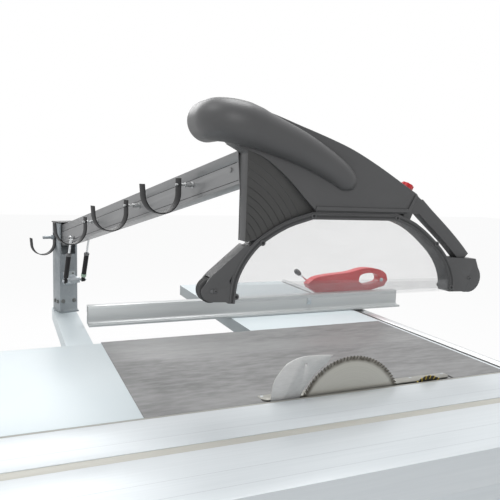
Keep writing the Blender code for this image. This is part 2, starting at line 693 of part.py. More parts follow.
def arbor_housing():
    low, high = BLADE_Z - 0.0585, BLADE_Z + 0.0345
    block = box((-0.045, 0.062), (0.020, 0.125), (low, high))
    guide = box((slideway_x() + GAP, -0.040), (0.040, 0.120), (BLADE_Z - 0.075, BLADE_Z - 0.015))
    tongue = box((slideway_x() - 0.0055, slideway_x() + 0.005), (0.0705, 0.0895),
                 (BLADE_Z - 0.075, BLADE_Z - 0.015))
    knife_seat = box((-0.210, -0.170), (KNIFE_THICK / 2 + GAP, 0.045), (BLADE_Z - 0.065, BLADE_Z - 0.025))
    web = box((0.060, 0.078), (0.080, 0.181), (MOTOR_Z - 0.03, -0.115))
    plate = box((-0.078, 0.078), (0.1685, 0.181), (MOTOR_Z - 0.07, -0.115))
    bore = rod((0, 0, BLADE_Z), (0, 0.16, BLADE_Z), ARBOR_R + BEARING_GAP, 24)
    motor_hole = rod((0, 0.15, MOTOR_Z), (0, 0.20, MOTOR_Z), 0.030)
    arbor_hole = rod((0, 0.15, BLADE_Z), (0, 0.20, BLADE_Z), PULLEY_R + 0.012, 28)
    piece("arbor_housing", "cast_iron", [block, guide, tongue, knife_seat, web, plate],
          [bore, motor_hole, arbor_hole], pivot=Vector((slideway_x(), 0.080, BLADE_Z)))


def main_motor():
    y = 0.181 + GAP
    case = rod((0, y, MOTOR_Z), (0, y + MOTOR_LENGTH, MOTOR_Z), MOTOR_R, 32)
    box_x = (-0.050, 0.050)
    terminal = box(box_x, (y + 0.05, y + 0.15), (MOTOR_Z - MOTOR_R - 0.025, MOTOR_Z - 0.05))
    well = rod((0, y - 0.01, MOTOR_Z), (0, y + 0.040, MOTOR_Z), MOTOR_SHAFT_R + BEARING_GAP)
    piece("main_motor", "motor_paint", [case, terminal], [well])
    shaft = rod((0, PULLEY_Y[0] + 0.002, MOTOR_Z), (0, y + 0.038, MOTOR_Z), MOTOR_SHAFT_R)
    pulley = turned(pulley_profile(MOTOR_SHAFT_R - 0.002), (0, PULLEY_Y[0], MOTOR_Z),
                    (0, PULLEY_Y[1], MOTOR_Z), 28)
    piece("motor_pulley", "steel", [shaft, pulley], pivot=Vector((0, y, MOTOR_Z)))


def drive_belt():
    def loop(radius):
        return arc((0, BLADE_Z), radius, 0, 180, 14) + arc((0, MOTOR_Z), radius, 180, 360, 14)

    inner = PULLEY_R + 0.0005
    y = (PULLEY_Y[0] + 0.0025, PULLEY_Y[1] - 0.0025)
    piece("drive_belt", "rubber", [along_y(loop(inner + BELT_THICK), y)],
          [along_y(loop(inner), widened(y, 0.01))])


def riving_knife():
    """A curved steel blade that follows the saw blade's back, clamped low down."""
    back = smooth([(-0.208, -0.100), (-0.228, -0.040), (-0.226, 0.035), (-0.201, 0.075), (-0.179, 0.092),
                   (-0.143, 0.102), (-0.085, 0.101)], 4)
    tip = [(-0.060, 0.0985), (-0.066, 0.093)]
    gap = 0.0065
    front = arc((0, BLADE_Z), BLADE_R + gap, 118, 196, 14)
    outline = [tuple(p) for p in back] + tip + front + [(-0.168, -0.128), (-0.206, -0.128)]
    half = KNIFE_THICK / 2
    hole = rod((-0.137, -0.01, 0.082), (-0.137, 0.01, 0.082), 0.003, 12)
    piece("riving_knife", "steel", [along_y(outline, (-half, half))], [hole])


# --- rip rail and fence ---------------------------------------------------------------------------

def rip_rail():
    strip_x = (TABLE_X[1] + GAP, TABLE_X[1] + GAP + RAIL_STRIP)
    far = TABLE_Y[1] + SIDE_TABLE_LENGTH
    bar = box(strip_x, (0.0, far), (-0.046, -0.002))
    lugs = [box((strip_x[1] - 0.001, RAIL_X - RAIL_R + 0.010), (y - 0.015, y + 0.015),
                (RAIL_Z - 0.006, RAIL_Z + 0.006)) for y in (0.10, 0.72, 1.42)]
    rail_room = rod((RAIL_X, -0.1, RAIL_Z), (RAIL_X, far + 0.1, RAIL_Z), RAIL_R + GAP, 28)
    piece("rail_mount", "anodised", [bar, *lugs], [rail_room])
    rail = rod((RAIL_X, RAIL_Y[0], RAIL_Z), (RAIL_X, RAIL_Y[1], RAIL_Z), RAIL_R, 28)
    piece("rip_rail", "chrome", [rail])


def fence_profile():
    front, back = FENCE_Y, FENCE_Y + FENCE_THICK
    low, high = FENCE_LIFT, FENCE_LIFT + FENCE_HEIGHT
    outline = [(front - FENCE_LIP, low), (back, low), (back, high), (front, high),
               (front, low + FENCE_LIP_HIGH + 0.006), (front - 0.006, low + FENCE_LIP_HIGH),
               (front - FENCE_LIP, low + FENCE_LIP_HIGH)]
    cell = box_outline((front + FENCE_WALL, slot_floor() - FENCE_WALL), (low + FENCE_WALL, high - FENCE_WALL))
    slot = box_outline((slot_floor(), back - FENCE_WALL), widened(slot_z(), 0.012))
    mouth = box_outline((back - FENCE_WALL - 0.001, back + 0.01), slot_z())
    over = widened(FENCE_X, 0.01)
    piece("fence_profile", "anodised", [along_x(outline, FENCE_X)],
          [along_x(cell, over), along_x(slot, over), along_x(mouth, over)],
          pivot=Vector((FENCE_X[0], FENCE_Y, FENCE_LIFT)))


def slot_floor():
    return FENCE_Y + FENCE_THICK - 0.016


def slot_z():
    return (FENCE_LIFT + 0.027, FENCE_LIFT + 0.041)


def box_outline(a, b):
    return [(a[0], b[0]), (a[1], b[0]), (a[1], b[1]), (a[0], b[1])]


def fence_carrier():
    """A casting with a loop grip, which grasps the round rail and holds the fence by its back slot."""
    y = (FENCE_Y + FENCE_THICK + GAP, FENCE_Y + FENCE_THICK + GAP + CASTING_THICK)
    top = smooth([(0.342, 0.108), (0.380, 0.132), (0.450, 0.143), (0.540, 0.150), (0.620, 0.166),
                  (0.690, 0.160), (0.730, 0.140), (0.741, 0.110)], 4)
    outline = [tuple(p) for p in top] + [(0.725, 0.085), (0.660, 0.070), (0.630, 0.020), (0.615, 0.002),
                                         (0.555, 0.002), (0.470, 0.022), (0.400, 0.060), (0.350, 0.090)]
    loop = smooth([(0.592, 0.110), (0.600, 0.136), (0.640, 0.145), (0.685, 0.138), (0.698, 0.114),
                   (0.680, 0.100), (0.620, 0.094), (0.592, 0.110)], 3)
    grip = [tuple(p) for p in loop[:-1]]
    saddle_y = (y[0], y[0] + 0.130)
    clear = RAIL_R + 0.0008
    saddle = (arc((RAIL_X, RAIL_Z), RAIL_R + 0.012, -150, 152, 22)
              + arc((RAIL_X, RAIL_Z), clear, 152, -150, 22))
    bore = rod((RAIL_X, y[0] - 0.01, RAIL_Z), (RAIL_X, saddle_y[1] + 0.01, RAIL_Z), clear, 28)
    slot = slot_z()
    neck = box((0.420, 0.620), (slot_floor() + 0.006, y[0] + 0.004), widened(slot, -0.0008))
    head = box((0.420, 0.620), (slot_floor() + 0.001, FENCE_Y + FENCE_THICK - FENCE_WALL - 0.0006),
               widened(slot, 0.010))
    stub = rod((0.372, y[1] - 0.004, 0.106), (0.372, y[1] + 0.014, 0.106), 0.005, 16)
    web = box((0.560, 0.612), saddle_y, (RAIL_Z + RAIL_R + 0.006, 0.012))
    solids = [along_y(outline, y), web, along_y(saddle, saddle_y), neck, head, stub]
    piece("fence_carrier", "red_casting", solids,
          [along_y(grip, widened(y, 0.01)), bore], pivot=Vector((RAIL_X, FENCE_Y, RAIL_Z)))


def fence_lever():
    y = FENCE_Y + FENCE_THICK + GAP + CASTING_THICK
    pivot = Vector((0.372, y, 0.106))
    tip = Vector((0.311, y, 0.155))
    blade_y = (y + GAP, y + 0.010)
    ahead = Vector((tip.x - pivot.x, tip.z - pivot.z))
    start = (pivot.x, pivot.z)
    bar = along_y(strip([start, Vector(start) + ahead * 0.95], 0.010), blade_y)
    hub = rod((pivot.x, blade_y[0], pivot.z), (pivot.x, blade_y[1], pivot.z), 0.011, 20)
    knob = rod((tip.x, blade_y[0] + 0.001, tip.z), (tip.x, blade_y[1] + 0.006, tip.z), 0.012, 20)
    hole = rod((pivot.x, y - 0.01, pivot.z), (pivot.x, y + 0.02, pivot.z), 0.0054, 16)
    piece("fence_lever", "steel", [bar, hub, knob], [hole], pivot=pivot)


# --- guard support --------------------------------------------------------------------------------

def tube_x():
    return (POST_X - TUBE_WIDE / 2, POST_X + TUBE_WIDE / 2)


def post_tube():
    z = (TUBE_TOP - TUBE_HIGH, TUBE_TOP)
    outer = box(tube_x(), TUBE_Y, z)
    inner = box(widened(tube_x(), -SHEET), widened(TUBE_Y, 0.01), widened(z, -SHEET))
    piece("post_tube", "cabinet_paint", [outer], [inner])


def outrigger_bracket():
    top = TUBE_TOP - TUBE_HIGH - GAP
    wall = CABINET_X[0] - GAP
    shelf = box((tube_x()[0] + 0.01, wall), (0.10, 0.50), (top - 0.008, top))
    leg = box((wall - 0.008, wall), (0.10, 0.50), (top - 0.070, top - 0.001))
    piece("outrigger_bracket", "cabinet_paint", [shelf, leg])


def guard_post():
    """Box-section post, open at its head, where a slot in its front face lets the arm in."""
    floor = TUBE_TOP + GAP - PIVOT_Z
    top = POST_HEIGHT - PIVOT_Z
    half = POST_WIDE / 2
    span = (-POST_BACK, POST_FRONT)
    shell = box(span, (-half, half), (floor, top))
    bore = box(widened(span, -POST_WALL), widened((-half, half), -POST_WALL), (floor + 0.008, top + 0.01))
    slot = box((0.0013, POST_FRONT + 0.01), widened((-ARM_WIDE / 2, ARM_WIDE / 2), 0.003),
               (-0.063, top + 0.01))
    foot = box((0, POST_FRONT + 0.012), widened((-half, half), 0.001), (floor, floor + 0.006))
    pin = rod((0, -half - 0.046, 0), (0, half + 0.010, 0), PIVOT_R, 16)
    nut = -half - HOOK_THICK - 2 * GAP
    heads = [rod((0, nut - 0.009, 0), (0, nut, 0), 0.010, 6),
             rod((0, half - 0.001, 0), (0, half + 0.008, 0), 0.010, 6)]
    tie_pin = rod((0, 0.0045, -TIE_DROP), (0, half - 0.001, -TIE_DROP), 0.004, 12)
    post = piece("guard_post", "zinc", [shell, foot], [bore, slot], frame=POST_FRAME, pivot=PIVOT)
    for k, shape in enumerate([pin, *heads, tie_pin]):
        join_later(post, f"pin.{k}", shape, POST_FRAME, pivot=PIVOT)


def post_cap():
    lap = 0.003
    low = POST_HEIGHT - PIVOT_Z + GAP
    lid = box(widened((-POST_BACK, POST_FRONT), lap), widened((-POST_WIDE / 2, POST_WIDE / 2), lap),
              (low, low + 0.004))
    piece("post_cap", "black_steel", [lid],
          frame=POST_FRAME, pivot=PIVOT)


def spring_bracket():
    """Fork bolted to the post's face, whose cross pin carries both gas springs."""
    face = POST_FRONT + GAP
    along, up = SPRING_LOW
    plate = box((face, face + 0.004), (-0.024, 0.024), (up - 0.026, up + 0.026))
    tongue = box((face + 0.002, along + 0.008), (-0.019, 0.019), (up - 0.010, up + 0.010))
    pin = rod((along, -SPRING_SIDE - 0.010, up), (along, SPRING_SIDE + 0.010, up), SPRING_PIN_R, 14)
    piece("spring_bracket", "zinc", [plate, tongue, pin], frame=POST_FRAME, pivot=PIVOT)


def arm_beam():
    half, high = ARM_WIDE / 2, ARM_HIGH / 2
    tail, nose_low, nose_high = -ARM_TAIL, ARM_LENGTH + ARM_NOSE[0], ARM_LENGTH + ARM_NOSE[1]
    outline = [(tail, -high), (nose_low, -high), (nose_high, high), (tail, high)]
    outer = along_y(outline, (-half, half))
    inner = box((tail - 0.01, ARM_LENGTH + 0.05), (-half + ARM_WALL, half - ARM_WALL),
                (-high + ARM_WALL, high - ARM_WALL))
    pivot_hole = rod((0, -half - 0.01, 0), (0, half + 0.01, 0), PIVOT_R + BEARING_GAP, 16)
    tie_hole = rod((-0.003, 0, -TIE_DROP + 0.0003), (-0.003, half + 0.01, -TIE_DROP + 0.0003), 0.0085, 16)
    pin = rod((ARM_LENGTH, -half - 0.004, 0), (ARM_LENGTH, half + 0.004, 0), PIVOT_R, 16)
    reach = hypot(*SPRING_HIGH)
    lean = atan2(SPRING_HIGH[1], SPRING_HIGH[0]) - ARM_RISE
    along, up = reach * cos(lean), reach * sin(lean)
    stubs = [rod((along, side * (half - 0.001), up), (along, side * (SPRING_SIDE + 0.010), up),
                 SPRING_PIN_R, 14) for side in (-1, 1)]
    beam = piece("arm_beam", "arm_aluminium", [outer, *stubs], [inner, pivot_hole, tie_hole],
                 frame=ARM_FRAME, pivot=PIVOT)
    join_later(beam, "pin", pin, ARM_FRAME, pivot=PIVOT)


TIE_SIDE = (0.006, 0.014)  # across the arm, from its middle


def tie_rod():
    """Runs inside the arm, parallel to it, and keeps the guard level."""
    drop = Vector((-TIE_DROP * sin(ARM_RISE), 0, -TIE_DROP * cos(ARM_RISE)))
    near, far = drop.copy(), drop + Vector((ARM_LENGTH, 0, 0))
    middle = Vector((0, sum(TIE_SIDE) / 2, 0))
    bar = rod(near + middle + Vector((0.006, 0, 0)), far + middle - Vector((0.006, 0, 0)), TIE_R, 12)
    eyes, holes = [], []
    for point, clear in ((near, BEARING_GAP), (far, 0.0010)):
        a, b = point + Vector((0, TIE_SIDE[0], 0)), point + Vector((0, TIE_SIDE[1], 0))
        eyes.append(rod(a, b, 0.008, 16))
        holes.append(rod(a - Vector((0, 0.01, 0)), b + Vector((0, 0.01, 0)), 0.004 + clear, 12))
    piece("tie_rod", "steel", [bar, *eyes], holes, frame=ARM_FRAME,
          pivot=PIVOT - Vector((0, 0, TIE_DROP)))


def hose_hook(name, frame, radius, face, standoff, pivot):
    """A flat strip bent to a U that lies across the arm, on a bolt when it has a standoff."""
    leg = face + standoff + HOOK_THICK / 2
    centre = (leg + radius, -0.022)
    line = [(leg, 0.017), (leg, centre[1])] + arc(centre, radius, 180, 360, 14)[1:]
    line.append((centre[0] + radius + 0.002, 0.0))
    outline = strip([(-a, b) for a, b in line], HOOK_THICK)
    half = HOOK_WIDE / 2
    parts = [along_x(outline, (-half, half))]
    if standoff:
        root, tip = -face - GAP, -leg - 0.008
        parts.append(rod((0, root, 0), (0, tip, 0), 0.0035, 12))
        parts.append(rod((0, root, 0), (0, root - 0.012, 0), 0.008, 6))
        parts.append(rod((0, -leg + 0.001, 0), (0, -leg + 0.008, 0), 0.007, 6))
    # Without a standoff the leg hangs on a bolt that another piece brings.
    holes = [] if standoff else [rod((0, -leg - 0.01, 0), (0, -leg + 0.01, 0), PIVOT_R + 0.0005, 16)]
    piece(name, "black_steel", parts, holes, frame=frame, pivot=pivot)


def hooks():
    for letter, along in zip("abc", HOOK_ALONG):
        upright = ARM_FRAME @ Matrix.Translation((along, 0, 0)) @ Matrix.Rotation(ARM_RISE, 4, "Y")
        hose_hook(f"hose_hook_{letter}", upright, HOOK_R, ARM_WIDE / 2, HOOK_STANDOFF - 0.003, PIVOT)
    hose_hook("hose_hook_d", POST_FRAME, POST_HOOK_R, POST_WIDE / 2 + GAP, 0, PIVOT)


def gas_spring(side_name, side):
    """Cylinder on the post's fork and rod up to the arm's stub."""
    low, high = Vector((SPRING_LOW[0], side, SPRING_LOW[1])), Vector((SPRING_HIGH[0], side, SPRING_HIGH[1]))
    ahead = (high - low).normalized()
    low_end = POST_FRAME @ low
    wide = Vector((0, 0.0055, 0))
    body = rod(low + ahead * SPRING_BODY[0], low + ahead * SPRING_BODY[1], SPRING_BODY_R, 20)
    eye = rod(low - wide, low + wide, 0.0085, 16)
    neck = rod(low, low + ahead * (SPRING_BODY[0] + 0.004), 0.005, 12)
    hole = rod(low - wide * 2, low + wide * 2, SPRING_PIN_R + BEARING_GAP, 14)
    bore = rod(low + ahead * (SPRING_BODY[0] + 0.010), low + ahead * (SPRING_BODY[1] + 0.01),
               SPRING_ROD_R + 0.0006, 16)
    piece(f"spring_cylinder_{side_name}", "black_steel", [body, eye, neck], [hole, bore],
          frame=POST_FRAME, pivot=low_end)
    stroke = 0.0345
    shaft = rod(low + ahead * (SPRING_BODY[0] + 0.012 + stroke), high, SPRING_ROD_R, 16)
    top_eye = rod(high - wide, high + wide, 0.0085, 16)
    top_hole = rod(high - wide * 2, high + wide * 2, SPRING_PIN_R + 0.0012, 14)
    piece(f"spring_rod_{side_name}", "chrome", [shaft, top_eye], [top_hole], frame=POST_FRAME, pivot=low_end)


# --- guard ----------------------------------------------------------------------------------------

def arch():
    """The inner edge of the hood frame, from its rear foot over the top to its front foot."""
    rear = smooth([(-0.331, HOOD_BOTTOM), (-0.326, 0.290), (-0.314, 0.3225), (-0.292, 0.3565),
                   (-0.262, 0.386), (-0.200, 0.4212), (-0.133, 0.4420)], 3)
    front = smooth([(0.112, 0.4390), (0.167, 0.4170), (0.224, 0.3770), (0.2700, 0.3315), (0.2940, 0.286),
                    (0.300, HOOD_BOTTOM)], 3)
    return rear + front


def hood_frame():
    inner = arch()
    outer = offset(inner, HOOD_RIM)
    y = (0, GUARD_DEEP)
    band = along_y([tuple(p) for p in outer] + [tuple(p) for p in inner[::-1]], y)
    rear_foot, front_foot = inner[0], inner[-1]
    r = REAR_ROLLER
    rear = [(rear_foot.x - 0.004, HOOD_BOTTOM + 0.004), (rear_foot.x - 0.015, 0.300), (-0.296, 0.378),
            (-0.306, 0.382), (r.x + 0.001, r.z + 0.0375), (r.x - 0.007, r.z + 0.029)]
    rear += arc((r.x, r.z), 0.0255, 170, 275, 7)
    f = FRONT_ROLLER
    front = [(front_foot.x + 0.004, HOOD_BOTTOM), (front_foot.x + 0.004, 0.300), (0.286, 0.340),
             (0.385, 0.334)]
    front += arc((f.x, f.z), 0.040, 40, -110, 12)
    rooms = [
        rod((r.x, half_gap(0), r.z), (r.x, half_gap(1), r.z), REAR_ROLLER_R + 0.003, 28),
        rod((f.x, half_gap(0), f.z), (f.x, half_gap(1), f.z), FRONT_ROLLER_R + 0.003, 32),
    ]
    axles = [rod((p.x, -0.01, p.z), (p.x, GUARD_DEEP + 0.01, p.z), AXLE_R + BEARING_GAP, 16)
             for p in (r, f)]
    piece("hood_frame", "dark_plastic", [band, along_y(rear, y), along_y(front, y)],
          [*rooms, *axles, mouth()], pivot=GUARD_PIVOT)


def mouth():
    """The way up for dust, from under the hood into the guard's body."""
    return box((-0.120, 0.100), (0.006, GUARD_DEEP - 0.006), (0.42, 0.48))


def half_gap(end):
    """The roller well's two faces."""
    middle = GUARD_DEEP / 2
    return middle + (end * 2 - 1) * (ROLLER_WIDE / 2 + 0.001)


def shields():
    edge = offset(arch(), -GAP)
    outline = [(p.x, max(p.y, HOOD_BOTTOM + 0.002)) for p in edge]
    near = (SHIELD_INSET, SHIELD_INSET + SHIELD_THICK)
    far = (GUARD_DEEP - SHIELD_INSET - SHIELD_THICK, GUARD_DEEP - SHIELD_INSET)
    piece("shield_near", "clear_sheet", [along_y(outline, near)], pivot=GUARD_PIVOT)
    piece("shield_far", "clear_sheet", [along_y(outline, far)], pivot=GUARD_PIVOT)


def roller(name, centre, radius):
    middle = GUARD_DEEP / 2
    half = ROLLER_WIDE / 2
    wheel = rod((centre.x, middle - half, centre.z), (centre.x, middle + half, centre.z), radius, 32)
    axle = rod((centre.x, 0.001, centre.z), (centre.x, GUARD_DEEP - 0.001, centre.z), AXLE_R, 16)
    piece(name, "dark_plastic", [wheel, axle], pivot=centre)


def body_outline():
    base = offset(arch(), HOOD_RIM + GAP)
    seat = [tuple(p) for p in base if p.x > -0.303 and p.x < 0.128 and p.y > 0.390]
    top = smooth([(-0.345, 0.694), (-0.330, 0.7045), (-0.2505, 0.6857), (-0.180, 0.6640), (-0.098, 0.6385),
                  (-0.026, 0.6125), (0.050, 0.5760), (0.123, 0.5360), (0.174, 0.508)], 3)
    return seat + [(0.148, 0.468), (0.166, 0.500)] + [tuple(p) for p in top[::-1]] + [
        (-0.352, 0.616), (-0.309, 0.594), (-0.309, 0.389)]


def pipe_line():
    """The dust pipe's middle line and radius: level from its open rear end, round a bend, then falling."""
    outlet_x = PIPE_BEND_X - PIPE_BEND_R
    level = [(outlet_x, y, PIPE_Z, PIPE_R) for y in (PIPE_END_Y, PIPE_BEND_Y + 0.02)]
    bend = arc((PIPE_BEND_X, PIPE_BEND_Y), PIPE_BEND_R, 180, 270, 9)
    level += [(x, y, PIPE_Z - PIPE_BEND_FALL * (k / 9) ** 2, PIPE_R) for k, (x, y) in enumerate(bend)]
    marks = [(-0.296, -0.004, 0.6505, 0.0470), (-0.2700, -0.004, 0.6418, 0.0440),
             (-0.2250, -0.004, 0.6270, 0.0412), (-0.1750, -0.003, 0.6085, 0.0383),
             (-0.1200, -0.002, 0.5830, 0.0345), (-0.0740, 0.001, 0.5580, 0.0318),
             (-0.0480, 0.004, 0.5400, 0.0290), (-0.0370, 0.006, 0.5320, 0.0235),
             (-0.0280, 0.009, 0.5250, 0.0130)]
    line = smooth([m[:3] for m in marks], 2)
    radii = [p.x for p in smooth([(m[3], 0) for m in marks], 2)]
    return [Vector(p[:3]) for p in level] + line, [p[3] for p in level] + radii


GUARD_LEFT = -0.309  # the body's upright rear edge, below the elbow


def cavity_outline():
    """The body outline moved inwards by its wall, without the corner that the pipe's elbow crosses."""
    outline = body_outline()
    closed = [Vector(p) for p in outline]
    count = len(closed)
    moved = []
    for k, point in enumerate(closed):
        into = (point - closed[k - 1]).normalized()
        out = (closed[(k + 1) % count] - point).normalized()
        ahead = (into + out).normalized()
        left = Vector((-ahead.y, ahead.x))
        moved.append(point + left * GUARD_WALL / max(ahead.dot(out), 0.6))
    return [tuple(p) for p in moved if p.x > GUARD_LEFT]


def cover_seam():
    return GUARD_DEEP - GUARD_WALL


def guard_body():
    y = (0, cover_seam() - GAP)
    shell = along_y(body_outline(), y)
    cavity = along_y(cavity_outline(), (GUARD_WALL, GUARD_DEEP + 0.01))
    line, radii = pipe_line()
    pipe = swept(line, radii, 24)
    bore_radii = [r - PIPE_WALL for r in radii]
    ahead = (line[0] - line[1]).normalized()
    bore = swept([line[0] + ahead * 0.01, *line[:-4]], [bore_radii[0], *bore_radii[:-4]], 24)
    block = box((-0.300, -0.225), (0.001, cover_seam() + 0.001),
                widened((GUARD_PIVOT.z, GUARD_PIVOT.z), 0.035))
    body = piece("guard_body", "dark_plastic", [shell, pipe], [bore, cavity, mouth()], pivot=GUARD_PIVOT)
    join_later(body, "block", block, pivot=GUARD_PIVOT)
    tongue = box((-0.016, 0.075), (-0.016, 0.002), (-0.027, 0.016))
    join_later(body, "tongue", tongue, GUARD_FRAME, pivot=GUARD_PIVOT)
    hole = rod((0, -0.05, 0), (0, 0.05, 0), PIVOT_R + BEARING_GAP, 16)
    join_later(body, "hole", hole, GUARD_FRAME, "DIFFERENCE", GUARD_PIVOT)
    stub = rod((0, 0.001, -TIE_DROP), (0, 0.017, -TIE_DROP), 0.004, 12)
    join_later(body, "stub", stub, GUARD_FRAME, pivot=GUARD_PIVOT)


def guard_cover():
    """Closes the body's far side, short of the dust pipe's elbow, with a window for the pivot block."""
    plate = along_y(body_outline(), (cover_seam(), GUARD_DEEP))
    window = box((-0.302, -0.200), (0, 0.10), widened((GUARD_PIVOT.z, GUARD_PIVOT.z), 0.038))
    elbow_room = box((-0.50, -0.24), (0, 0.10), (PIPE_Z - PIPE_R - 0.004, 0.80))
    piece("guard_cover", "dark_plastic", [plate], [window, elbow_room], pivot=GUARD_PIVOT)


def guard_handle():
    """The bowed strut from the body's nose to the front bracket, also the pull-down handle."""
    middle = smooth([(0.186, 0.482), (0.2165, 0.4555), (0.2800, 0.4035), (0.3235, 0.3645),
                     (0.3520, 0.3360)], 4)
    y = (0.009, GUARD_DEEP - 0.009)
    bar = along_y([tuple(p) for p in strip(middle, 0.0345)], y)
    low = along_y([(0.25, 0.3425), (0.286, 0.3403), (0.385, 0.3343), (0.450, 0.3303), (0.450, 0.30),
                   (0.25, 0.30)], widened(y, 0.01))
    lip = along_y([(0.1745, 0.5085), (0.167, 0.4995), (0.150, 0.470), (0.138, 0.4625), (0.1385, 0.4500),
                   (0.160, 0.4420), (0.167, 0.4570), (0.188, 0.4575), (0.222, 0.4700)], y)
    room = along_y([(x, z) for x, z in nose_room()], widened(y, 0.01))
    piece("guard_handle", "dark_plastic", [bar, lip], [low, room], pivot=GUARD_PIVOT)


def nose_room():
    """The body's nose with its clearance, which the handle is cut back from."""
    g = GAP
    return [(0.100, 0.440), (0.1485 + g, 0.4665), (0.1665 + g, 0.4995), (0.1745 + g, 0.508), (0.170, 0.60),
            (0.100, 0.60)]


def guard_knob():
    """A ribbed clamp knob that stands square on the body's sloping top edge."""
    low, high = Vector((0.123, 0.536)), Vector((0.174, 0.508))
    ahead = (high - low).normalized()
    normal = Vector((-ahead.y, ahead.x))
    foot = low + ahead * 0.031 + normal * (GAP + 0.0005)
    tip = foot + normal * 0.013
    y = GUARD_DEEP / 2
    loop = []
    for k in range(32):
        radius = KNOB_R if k % 4 < 2 else KNOB_R - 0.0015
        loop.append((radius * cos(2 * pi * k / 32), radius * sin(2 * pi * k / 32)))
    side, across = Vector((ahead.x, 0, ahead.y)), Vector((0, 1, 0))
    base = Vector((foot.x, y, foot.y))
    points = [base + side * a + across * b for a, b in loop]
    body = extruded(points, Vector((tip.x - foot.x, 0, tip.y - foot.y)))
    piece("guard_knob", "red_plastic", [body], pivot=base)


# --- assembly -------------------------------------------------------------------------------------

plinth()
cabinet()
service_door()
dust_outlet()
control_panel()
buttons()
handwheel("height_handwheel", HEIGHT_WHEEL_Y)
handwheel("tilt_handwheel", TILT_WHEEL_Y)
main_table()
table_insert()
rear_extension_table()
right_extension_table()
extension_brace()
sliding_table()
slide_beam()
beam_bracket()
trunnion("front_trunnion", TRUNNION_X[1])
trunnion("rear_trunnion", TRUNNION_X[0])
tilt_frame()
scoring_unit()
arbor_housing()
arbor()
saw_blade("main_blade", Vector((0, 0, BLADE_Z)), BLADE_R, BLADE_TEETH, TOOTH_DEEP, ARBOR_R)
main_motor()
drive_belt()
riving_knife()
rip_rail()
fence_profile()
fence_carrier()
fence_lever()
post_tube()
outrigger_bracket()
guard_post()
post_cap()
spring_bracket()
arm_beam()
tie_rod()
hooks()
gas_spring("left", -SPRING_SIDE)
gas_spring("right", SPRING_SIDE)
guard_body()
guard_cover()
hood_frame()
shields()
roller("rear_roller", REAR_ROLLER, REAR_ROLLER_R)
roller("front_roller", FRONT_ROLLER, FRONT_ROLLER_R)
guard_handle()
guard_knob()
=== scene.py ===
"""The looks of a sliding-table panel saw with an overhead blade guard on a lifting arm.

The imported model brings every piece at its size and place. This script rounds their edges, models the
fine shapes of those that show, and gives each surface its finish.
"""

import json
from contextlib import contextmanager
from math import atan2, cos, hypot, pi, radians, sin

import bpy
from mathutils import Matrix, Vector

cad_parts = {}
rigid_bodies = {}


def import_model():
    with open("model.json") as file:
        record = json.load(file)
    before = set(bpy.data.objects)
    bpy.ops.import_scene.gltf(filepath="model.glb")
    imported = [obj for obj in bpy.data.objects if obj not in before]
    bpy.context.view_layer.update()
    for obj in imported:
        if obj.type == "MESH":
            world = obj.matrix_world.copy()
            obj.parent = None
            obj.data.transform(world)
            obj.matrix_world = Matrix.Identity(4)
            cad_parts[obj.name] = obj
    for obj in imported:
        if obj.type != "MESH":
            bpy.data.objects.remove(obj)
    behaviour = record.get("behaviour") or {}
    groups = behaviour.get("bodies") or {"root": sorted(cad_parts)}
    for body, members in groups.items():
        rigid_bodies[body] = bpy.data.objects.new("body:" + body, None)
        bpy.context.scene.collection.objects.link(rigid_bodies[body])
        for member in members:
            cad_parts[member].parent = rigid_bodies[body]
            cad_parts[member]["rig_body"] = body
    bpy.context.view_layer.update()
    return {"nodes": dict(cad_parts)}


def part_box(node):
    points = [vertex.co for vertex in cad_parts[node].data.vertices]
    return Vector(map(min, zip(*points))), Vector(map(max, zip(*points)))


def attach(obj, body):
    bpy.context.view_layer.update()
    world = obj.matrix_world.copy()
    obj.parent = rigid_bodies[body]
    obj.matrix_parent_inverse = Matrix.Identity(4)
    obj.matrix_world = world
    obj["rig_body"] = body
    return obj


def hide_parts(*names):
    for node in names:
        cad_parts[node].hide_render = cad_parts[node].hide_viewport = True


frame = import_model()


# Studio. The camera stands beyond the sliding table at the outfeed end and looks across the saw.
# A large soft lamp hangs over the tables, and three weaker ones fill from the front, side and rear.

bpy.ops.object.camera_add(
    location=(-0.8207, -1.2393, 1.4022),
    rotation=(radians(83.156), radians(-1.758), radians(-22.692)),
)
camera = bpy.context.object
camera.data.lens = 42.02
camera.data.clip_end = 60
bpy.context.scene.camera = camera
bpy.context.scene.view_settings.view_transform = "Standard"


def soft_lamp(name, place, aim, size, watts):
    """A square area lamp that faces its aim."""
    bpy.ops.object.light_add(type="AREA", location=place)
    lamp = bpy.context.object
    lamp.name = name
    lamp.rotation_euler = (Vector(aim) - Vector(place)).to_track_quat("-Z", "Y").to_euler()
    lamp.data.size = size
    lamp.data.energy = watts


soft_lamp("top_lamp", (0.8, 1.4, 5.9), (0, 0.4, 1.2), 2.6, 168)
soft_lamp("front_lamp", (-2.2, -4.2, 3.0), (0, 0.2, 1.1), 2.4, 55)
soft_lamp("side_lamp", (-2.9, 0.6, 4.4), (-0.2, 0.3, 1.2), 1.6, 28)
soft_lamp("rear_lamp", (-0.8, 4.6, 3.6), (0, 0.4, 1.0), 2.2, 50)


def add_node(tree, kind, inputs, **settings):
    """A shader node; each input is given a value, or the output that feeds it."""
    made = tree.nodes.new(kind)
    for setting, value in settings.items():
        setattr(made, setting, value)
    for socket, value in inputs.items():
        if isinstance(value, bpy.types.NodeSocket):
            tree.links.new(value, made.inputs[socket])
        else:
            made.inputs[socket].default_value = value
    return made


